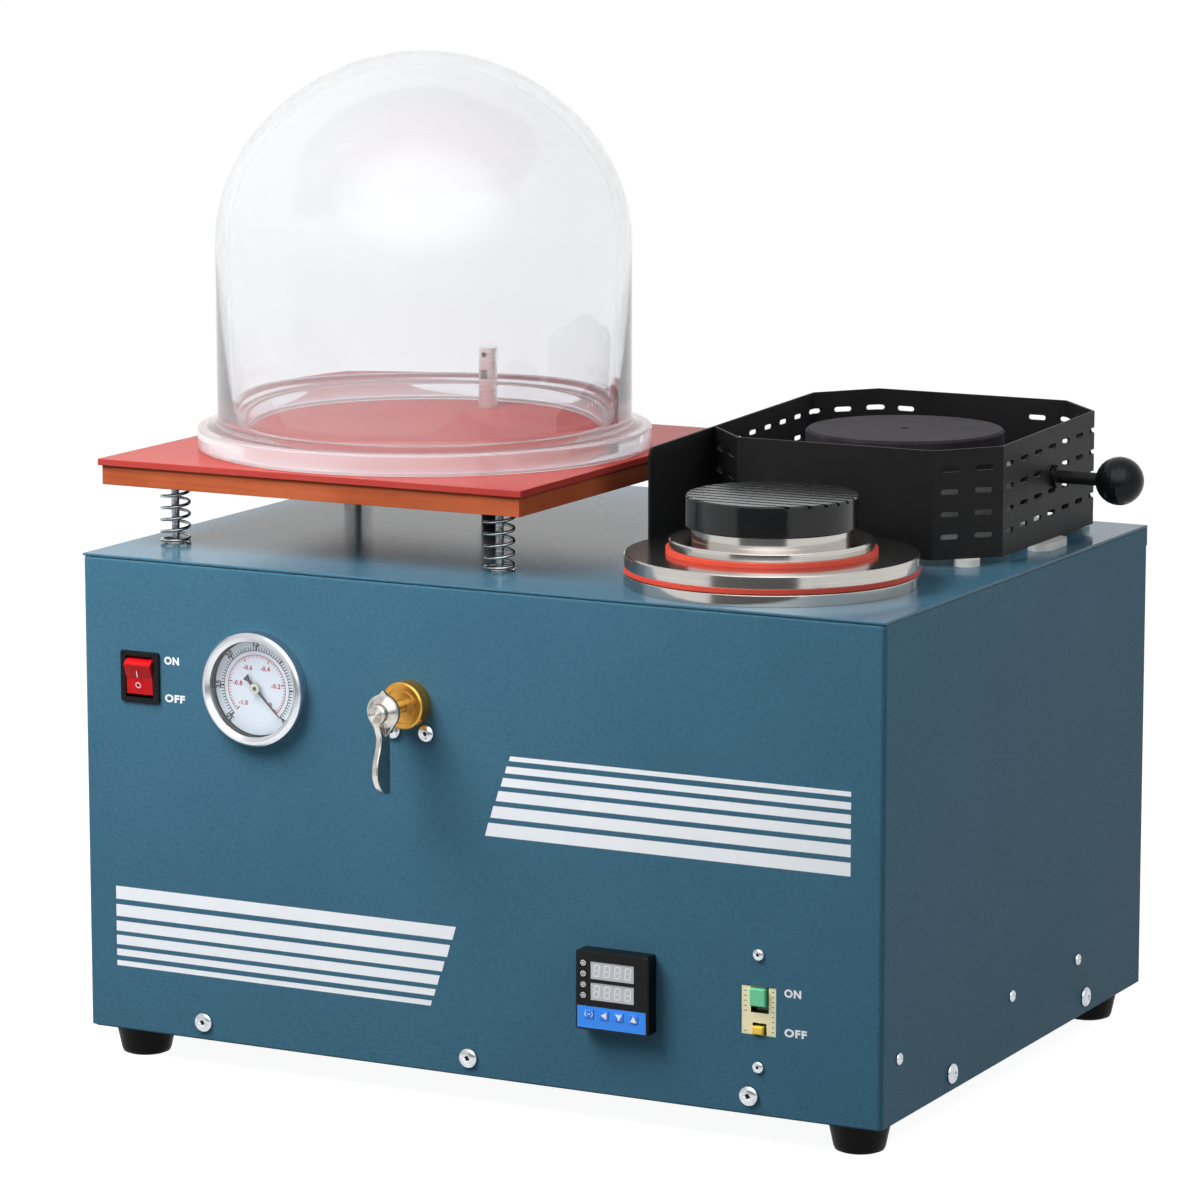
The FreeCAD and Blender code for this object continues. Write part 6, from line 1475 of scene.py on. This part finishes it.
@dataclass
class TemperatureController(SubAssembly):
    """The panel controller: two unlit displays, four indicator rings and four keys.

    Attributes:
        size: Width and height of its face.
        digits: How many digits each display has.
        digit_left: Middle of the first digit from the face's left edge.
        digit_step: Distance between digits.
        windows: Middle of each display from the face's top edge.
        digit_w: Half the width of a digit between its upright bars.
        digit_h: Half the height of a digit between its level bars.
        bar: Width of a digit's bars.
        short: How much a level bar falls short of the digit's width, and an upright one of its half height.
        slant: Slope of the digits.
        rings: Inner and outer radii of an indicator's two rings.
        ring_left: Middle of the indicator rings from the left edge.
        rings_down: Middle of each indicator ring from the top edge.
        patch: Inner and outer radius of the round patch on a key.
        bow: Inner and outer radius of the set key's bows.
        bow_reach: Degrees that a bow reaches to each side.
        bow_away: Distance of a bow's centre from the key's.
        dash: Width and height of the set key's dash.
        arrow: Corners of an arrow that points up.
        symbols: Each key's symbol.
    """

    size: float = 48.0
    digits: int = 4
    digit_left: float = 14.2
    digit_step: float = 6.85
    windows: tuple[float, float] = (11.45, 24.15)
    digit_w: float = 1.75
    digit_h: float = 3.4
    bar: float = 0.75
    short: tuple[float, float] = (0.3, 0.4)
    slant: float = 0.09
    rings: tuple[tuple[float, float], ...] = ((1.2, 1.7), (0.3, 0.7))
    ring_left: float = 5.4
    rings_down: tuple[float, ...] = (7.5, 14.0, 20.6, 27.0)
    patch: tuple[float, float] = (0.1, 2.3)
    bow: tuple[float, float] = (1.35, 1.75)
    bow_reach: float = 60.0
    bow_away: float = 1.0
    dash: tuple[float, float] = (1.8, 0.5)
    arrow: tuple[tuple[float, float], ...] = ((-2.2, -1.8), (2.2, -1.8), (0.0, 2.1))
    symbols: tuple[tuple[str, Symbol], ...] = (
        ("key_set", Symbol.SET), ("key_shift", Symbol.LEFT), ("key_down", Symbol.DOWN), ("key_up", Symbol.UP),
    )

    def build(self) -> None:
        """Dresses the controller and prints its face."""
        self.bench.dress({
            BLACK: "controller_case", WINDOW: "controller_displays",
            FILM: "controller_strip key_set key_shift key_down key_up",
        })
        face = front_of("controller_case")
        corner = face.moved(-self.size / 2, self.size / 2)
        deep = (front_of("controller_displays").origin - face.origin) @ face.out / MM + PRINT_PROUD
        digits = []
        for down in self.windows:
            for i in range(self.digits):
                digits += self.digit(corner.moved(self.digit_left + self.digit_step * i, -down, deep))
        self.bench.piece("display_digits", Surface.joined(digits), SEGMENT, "cabinet")
        rings = []
        for down in self.rings_down:
            place = corner.moved(self.ring_left, -down, PRINT_PROUD)
            rings += [Surface.band(place, *ring) for ring in self.rings]
        self.bench.piece("indicator_rings", Surface.joined(rings), SEGMENT, "cabinet")
        for key, symbol in self.symbols:
            plane = front_of(key).moved(0, 0, PRINT_PROUD)
            patch = Surface.band(plane.moved(0, 0, -PRINT_PROUD / 2), *self.patch)
            self.bench.piece(key + "_patch", patch, KEY_PATCH, key)
            self.bench.piece(key + "_symbol", self.symbol(symbol, plane), PRINT, key)

    def digit(self, plane: Plane) -> list[Surface]:
        """The seven bars of one unlit digit, sheared so that x grows by slant for each y.

        Args:
            plane: The digit's middle.

        Returns:
            One flat surface per bar.
        """
        level, upright = 2 * self.digit_w - self.short[0], self.digit_h - self.short[1]
        outlines = [bar(0, y, level, self.bar) for y in (-self.digit_h, 0.0, self.digit_h)]
        for x in (-self.digit_w, self.digit_w):
            outlines += [bar(x, y, self.bar, upright) for y in (-self.digit_h / 2, self.digit_h / 2)]
        shear = np.array([[1.0, 0.0], [self.slant, 1.0]])
        return [Surface.flat(plane, outline @ shear) for outline in outlines]

    def symbol(self, kind: Symbol, plane: Plane) -> Surface:
        """A key's symbol: an arrow or, for the set key, two bows round a dash.

        Args:
            kind: Which symbol.
            plane: The middle of the key's face.

        Returns:
            The symbol.
        """
        if kind is not Symbol.SET:
            return Surface.flat(plane.turned(kind.value), np.array(self.arrow))
        parts = []
        for x, turn in ((-self.bow_away, 180), (self.bow_away, 0)):
            reach = (turn - self.bow_reach, turn + self.bow_reach)
            parts.append(Surface.band(plane.moved(x, 0), *self.bow, *reach))
        return Surface.joined(parts + [Surface.flat(plane, bar(0, 0, *self.dash))])


@dataclass
class Breaker(SubAssembly):
    """The circuit breaker behind its window: cream face, wells lined with painted shade, green reset and
    yellow test button.

    Attributes:
        wells: Left, bottom, width and height of each well, from the breaker's middle.
        well_depth: Depth of the wells.
        gap: Gap between a well's wall and the dark sheets of painted shade inside it.
        over: How far above the well's floor their floor lies, less the gap.
        proud: How far out their front edge stands.
        words: Each word with its place from the panel's lower left corner, and its width.
        marks: How many fine marks run down each side.
        mark_top: Height of the uppermost.
        mark_step: Distance from one to the next.
        right_mark: Side place, height from its row, width and thickness of a mark on the right.
        left_mark: The same for a mark on the left.
        bare: Rows that have no mark on the left.
    """

    wells: tuple[tuple[float, float, float, float], ...] = (
        (-5.0, -1.2, 11.4, 15.4), (-3.9, -14.2, 8.9, 6.9),
    )
    well_depth: float = 8.0
    gap: float = 0.04
    over: float = 0.1
    proud: float = 0.02
    words: tuple[tuple[str, float, float, float], ...] = (
        ("ON", 483.2, 75.6, 10.8), ("OFF", 485.2, 52.1, 14.4),
    )
    marks: int = 9
    mark_top: float = 12.0
    mark_step: float = 3.0
    right_mark: tuple[float, float, float, float] = (9.2, 0.0, 1.3, 0.4)
    left_mark: tuple[float, float, float, float] = (-8.6, -0.6, 2.0, 0.35)
    bare: tuple[int, ...] = (5, 6, 7)

    def build(self) -> None:
        """Dresses the breaker, lines its wells with painted shade and prints its marks and words."""
        self.bench.dress({CREAM: "breaker_case", GREEN: "breaker_reset", YELLOW: "breaker_test"})
        face = front_of("breaker_case")
        # Black sheets on the wells' walls and floors: painted shade.
        well_shades = Surface.joined([self.lining(face, *well) for well in self.wells])
        self.bench.piece("breaker_well_shade", well_shades, BLACK, "cabinet")
        plane = face.moved(0, 0, PRINT_PROUD)
        lines = []
        for i in range(self.marks):
            row = plane.moved(0, self.mark_top - self.mark_step * i)
            lines.append(Surface.flat(row, bar(*self.right_mark)))
            if i not in self.bare:
                lines.append(Surface.flat(row, bar(*self.left_mark)))
        self.bench.piece("breaker_marks", Surface.joined(lines), INK, "cabinet")
        self.bench.print_words("breaker_words", self.words)

    def lining(self, face: Plane, left: float, bottom: float, width: float, height: float) -> Surface:
        """Painted shade in a well: dark sheets as a rectangular loop carried straight in, closed by a floor,
        open to the front.

        Args:
            face: The breaker's face about its middle.
            left: The well's left edge.
            bottom: Its bottom edge.
            width: Its width.
            height: Its height.

        Returns:
            Four walls and a floor that face into the well.
        """
        loop = bar(left + width / 2, bottom + height / 2, width - 2 * self.gap, height - 2 * self.gap)
        walls = Surface.sleeve(face, loop, (-self.gap - self.well_depth + self.over, self.proud))
        walls.faces = [tuple(reversed(f)) for f in walls.faces] + [(0, 1, 2, 3)]
        return walls


@dataclass
class MainsInlet(SubAssembly):
    """The mains inlet on the rear panel.

    Attributes:
        pins: Places of its pins from its middle.
        half: Half width and half height of a pin.
        reach: How far in a pin starts and ends, from the inlet's face.
    """

    pins: tuple[tuple[float, float], ...] = ((-7.0, -2.0), (0.0, 2.0), (7.0, -2.0))
    half: tuple[float, float] = (1.06, 2.06)
    reach: tuple[float, float] = (-16.0, -6.9)

    def build(self) -> None:
        """Dresses the inlet and sleeves its pins in bright metal."""
        self.bench.dress({BLACK: "power_inlet"})
        low, high = box_of("power_inlet")
        rear = Plane(np.array([(low[0] + high[0]) / 2, high[1], (low[2] + high[2]) / 2]), -RIGHT, UP, BACK)
        sleeves = []
        for x, y in self.pins:
            sleeve = Surface.sleeve(rear, bar(x, y, 2 * self.half[0], 2 * self.half[1]), self.reach)
            sleeve.faces += [(3, 2, 1, 0), (4, 5, 6, 7)]
            sleeves.append(sleeve)
        self.bench.piece("inlet_pins", Surface.joined(sleeves), ZINC, "cabinet")


@dataclass
class Plumbing(SubAssembly):
    """The vacuum pump and the hoses inside the cabinet."""

    def build(self) -> None:
        """Dresses the pump and the hoses."""
        self.bench.dress({
            PUMP: "pump_oil_case pump_motor pump_rail", FOOT: "pump_feet", HOSE: "fixed_hoses table_hose",
        })


# ---- Studio --------------------------------------------------------------------------------------


@dataclass(frozen=True)
class Softbox:
    """A rectangular lamp.

    Attributes:
        name: The lamp's name.
        place: Where it hangs.
        aim: What it faces.
        size: Width and height.
        power: Its power in watts.
        gloss_only: True if only glossy surfaces see it; the others are seen by matt ones alone.
    """

    name: str
    place: tuple[float, float, float]
    aim: tuple[float, float, float]
    size: tuple[float, float]
    power: float
    gloss_only: bool


@dataclass
class Studio:
    """The floor, the surround, the lamps and the camera.

    Attributes:
        bench: Where materials are made.
        lamps: The softboxes.
        surround: Strength of the surround as light; where it is seen it is white.
        hot_spot: How much brighter than its mean a lamp's middle is.
        fade: How far from its middle a lamp is dark and is at its brightest, as shares of its side.
        floor_half: Half the floor's width in metres.
        card_away: Distance of the grey card in metres.
        card_turn: Its two ends, in degrees to the right of straight ahead.
        card_height: Its height in metres.
        eye: The camera's place.
        turn: How far the camera is turned to the left of straight ahead, in degrees.
        down: How far it looks down.
        roll: How far it is rolled.
        lens: Its focal length for a sensor of the width below.
        sensor: Its sensor's width.
        far: How far it sees, in metres.
    """

    bench: Bench
    lamps: tuple[Softbox, ...] = (
        Softbox("key", (-430.0, -680.0, 1000.0), (-150.0, -150.0, 200.0), (1100.0, 1100.0), 18.2, False),
        Softbox("fill", (900.0, -250.0, 900.0), (289.0, -100.0, 250.0), (900.0, 900.0), 3.4, False),
        Softbox("glow", (563.0, -1286.0, 1630.0), (-150.0, 0.0, 600.0), (4400.0, 3400.0), 42.0, True),
        Softbox("rim", (300.0, 1100.0, 1500.0), (0.0, 0.0, 300.0), (1600.0, 1600.0), 4.4, False),
    )
    surround: float = 0.22
    hot_spot: float = 2.65
    fade: tuple[float, float] = (0.5, 0.15)
    floor_half: float = 14.0
    card_away: float = 1.3
    card_turn: tuple[float, float] = (-14.0, 47.0)
    card_height: float = 0.29
    eye: tuple[float, float, float] = (1431.6, -2793.3, 823.6)
    turn: float = 27.50
    down: float = 9.783
    roll: float = 0.04
    lens: float = 154.1
    sensor: float = 36.0
    far: float = 100.0

    def build(self) -> None:
        """Builds the studio."""
        bpy.context.scene.view_settings.view_transform = "Standard"
        self.floor()
        self.card()
        self.world()
        for lamp in self.lamps:
            self.softbox(lamp)
        self.camera()

    def sheet(
        self, name: str, corners: list[tuple[float, float, float]], finish: Finish | StudioFloor
    ) -> bpy.types.Object:
        """A flat sheet that is no part of the machine.

        Args:
            name: Its name.
            corners: Its corners in metres, counter-clockwise as its face is seen.
            finish: Its material.

        Returns:
            The sheet.
        """
        mesh = bpy.data.meshes.new(name)
        mesh.from_pydata(corners, [], [(0, 1, 2, 3)])
        mesh.materials.append(self.bench.material(finish))
        thing = placed(name, mesh)
        return thing

    def floor(self) -> None:
        """A wide floor just under the feet."""
        size, level = self.floor_half, cad_box[0].z
        corners = [(-size, -size, level), (size, -size, level), (size, size, level), (-size, size, level)]
        self.sheet("floor", corners, FLOOR)

    def card(self) -> None:
        """A low grey card before the machine that only bright metal mirrors."""
        left, right = [math.radians(a) for a in self.card_turn]
        away, top = self.card_away, self.card_height
        corners = [(away * math.sin(a), -away * math.cos(a), z)
                   for a, z in ((left, top), (right, top), (right, 0.0), (left, 0.0))]
        card = self.sheet("card", corners, FELT)
        card.visible_camera = card.visible_diffuse = False
        card.visible_shadow = card.visible_transmission = False

    def world(self) -> None:
        """A plain surround: white where it is seen, in glass and in gloss too, and dimmer as light."""
        world = bpy.data.worlds.new("studio")
        bpy.context.scene.world = world
        world.use_nodes = True
        shade = Shade(world.node_tree)
        lit = shade.add("Background", {"Color": WHITE, "Strength": self.surround}).outputs[0]
        shown = shade.add("Background", {"Color": WHITE, "Strength": 1.0}).outputs[0]
        both = shade.add("MixShader", {0: shown_rays(shade), 1: lit, 2: shown}).outputs[0]
        shade.add("OutputWorld", {"Surface": both})

    def softbox(self, lamp: Softbox) -> None:
        """Hangs one lamp: bright in its middle, and fading to nothing at its edge.

        Args:
            lamp: Its place, size and power.
        """
        data = bpy.data.lights.new(lamp.name, "AREA")
        data.shape = "RECTANGLE"
        data.size, data.size_y = lamp.size[0] * MM, lamp.size[1] * MM
        data.energy = lamp.power
        data.use_nodes = True
        shade = Shade(data.node_tree)
        spot, middle = shade.add("NewGeometry").outputs["Parametric"], (0.5, 0.5, 0.0)
        away = shade.add("VectorMath", {0: spot, 1: middle}, operation="DISTANCE").outputs["Value"]
        fade = {0: away, 1: self.fade[0], 2: self.fade[1], 3: 0.0, 4: self.hot_spot}
        strength = shade.add("MapRange", fade, interpolation_type="SMOOTHSTEP").outputs[0]
        shade.add("OutputLight", {"Surface": shade.add("Emission", {"Strength": strength}).outputs[0]})
        light = placed(lamp.name, data)
        light.location = Vector(lamp.place) * MM
        light.rotation_euler = (Vector(lamp.aim) - Vector(lamp.place)).to_track_quat("-Z", "Y").to_euler()
        light.visible_camera = light.visible_transmission = False
        light.visible_glossy, light.visible_diffuse = lamp.gloss_only, not lamp.gloss_only

    def camera(self) -> None:
        """Sets the camera by its place and the direction it faces."""
        data = bpy.data.cameras.new("camera")
        data.lens, data.sensor_width = self.lens, self.sensor
        data.clip_end = self.far
        camera = placed("camera", data)
        camera.location = Vector(self.eye) * MM
        camera.rotation_euler = [math.radians(angle) for angle in (90.0 - self.down, self.roll, self.turn)]
        bpy.context.scene.camera = camera


def main() -> None:
    """Builds each sub-assembly and then the studio."""
    logging.basicConfig(level=logging.INFO, format="%(message)s")
    bench = Bench()
    kinds = (Enclosure, ShakeTable, BellJar, CastingChamber, Furnace, RockerSwitch, VacuumGauge, ReleaseValve,
             TemperatureController, Breaker, MainsInlet, Plumbing, Studio)
    for kind in kinds:
        LOG.info("%s", kind.__name__)
        kind(bench).build()


if __name__ == "__main__":
    main()
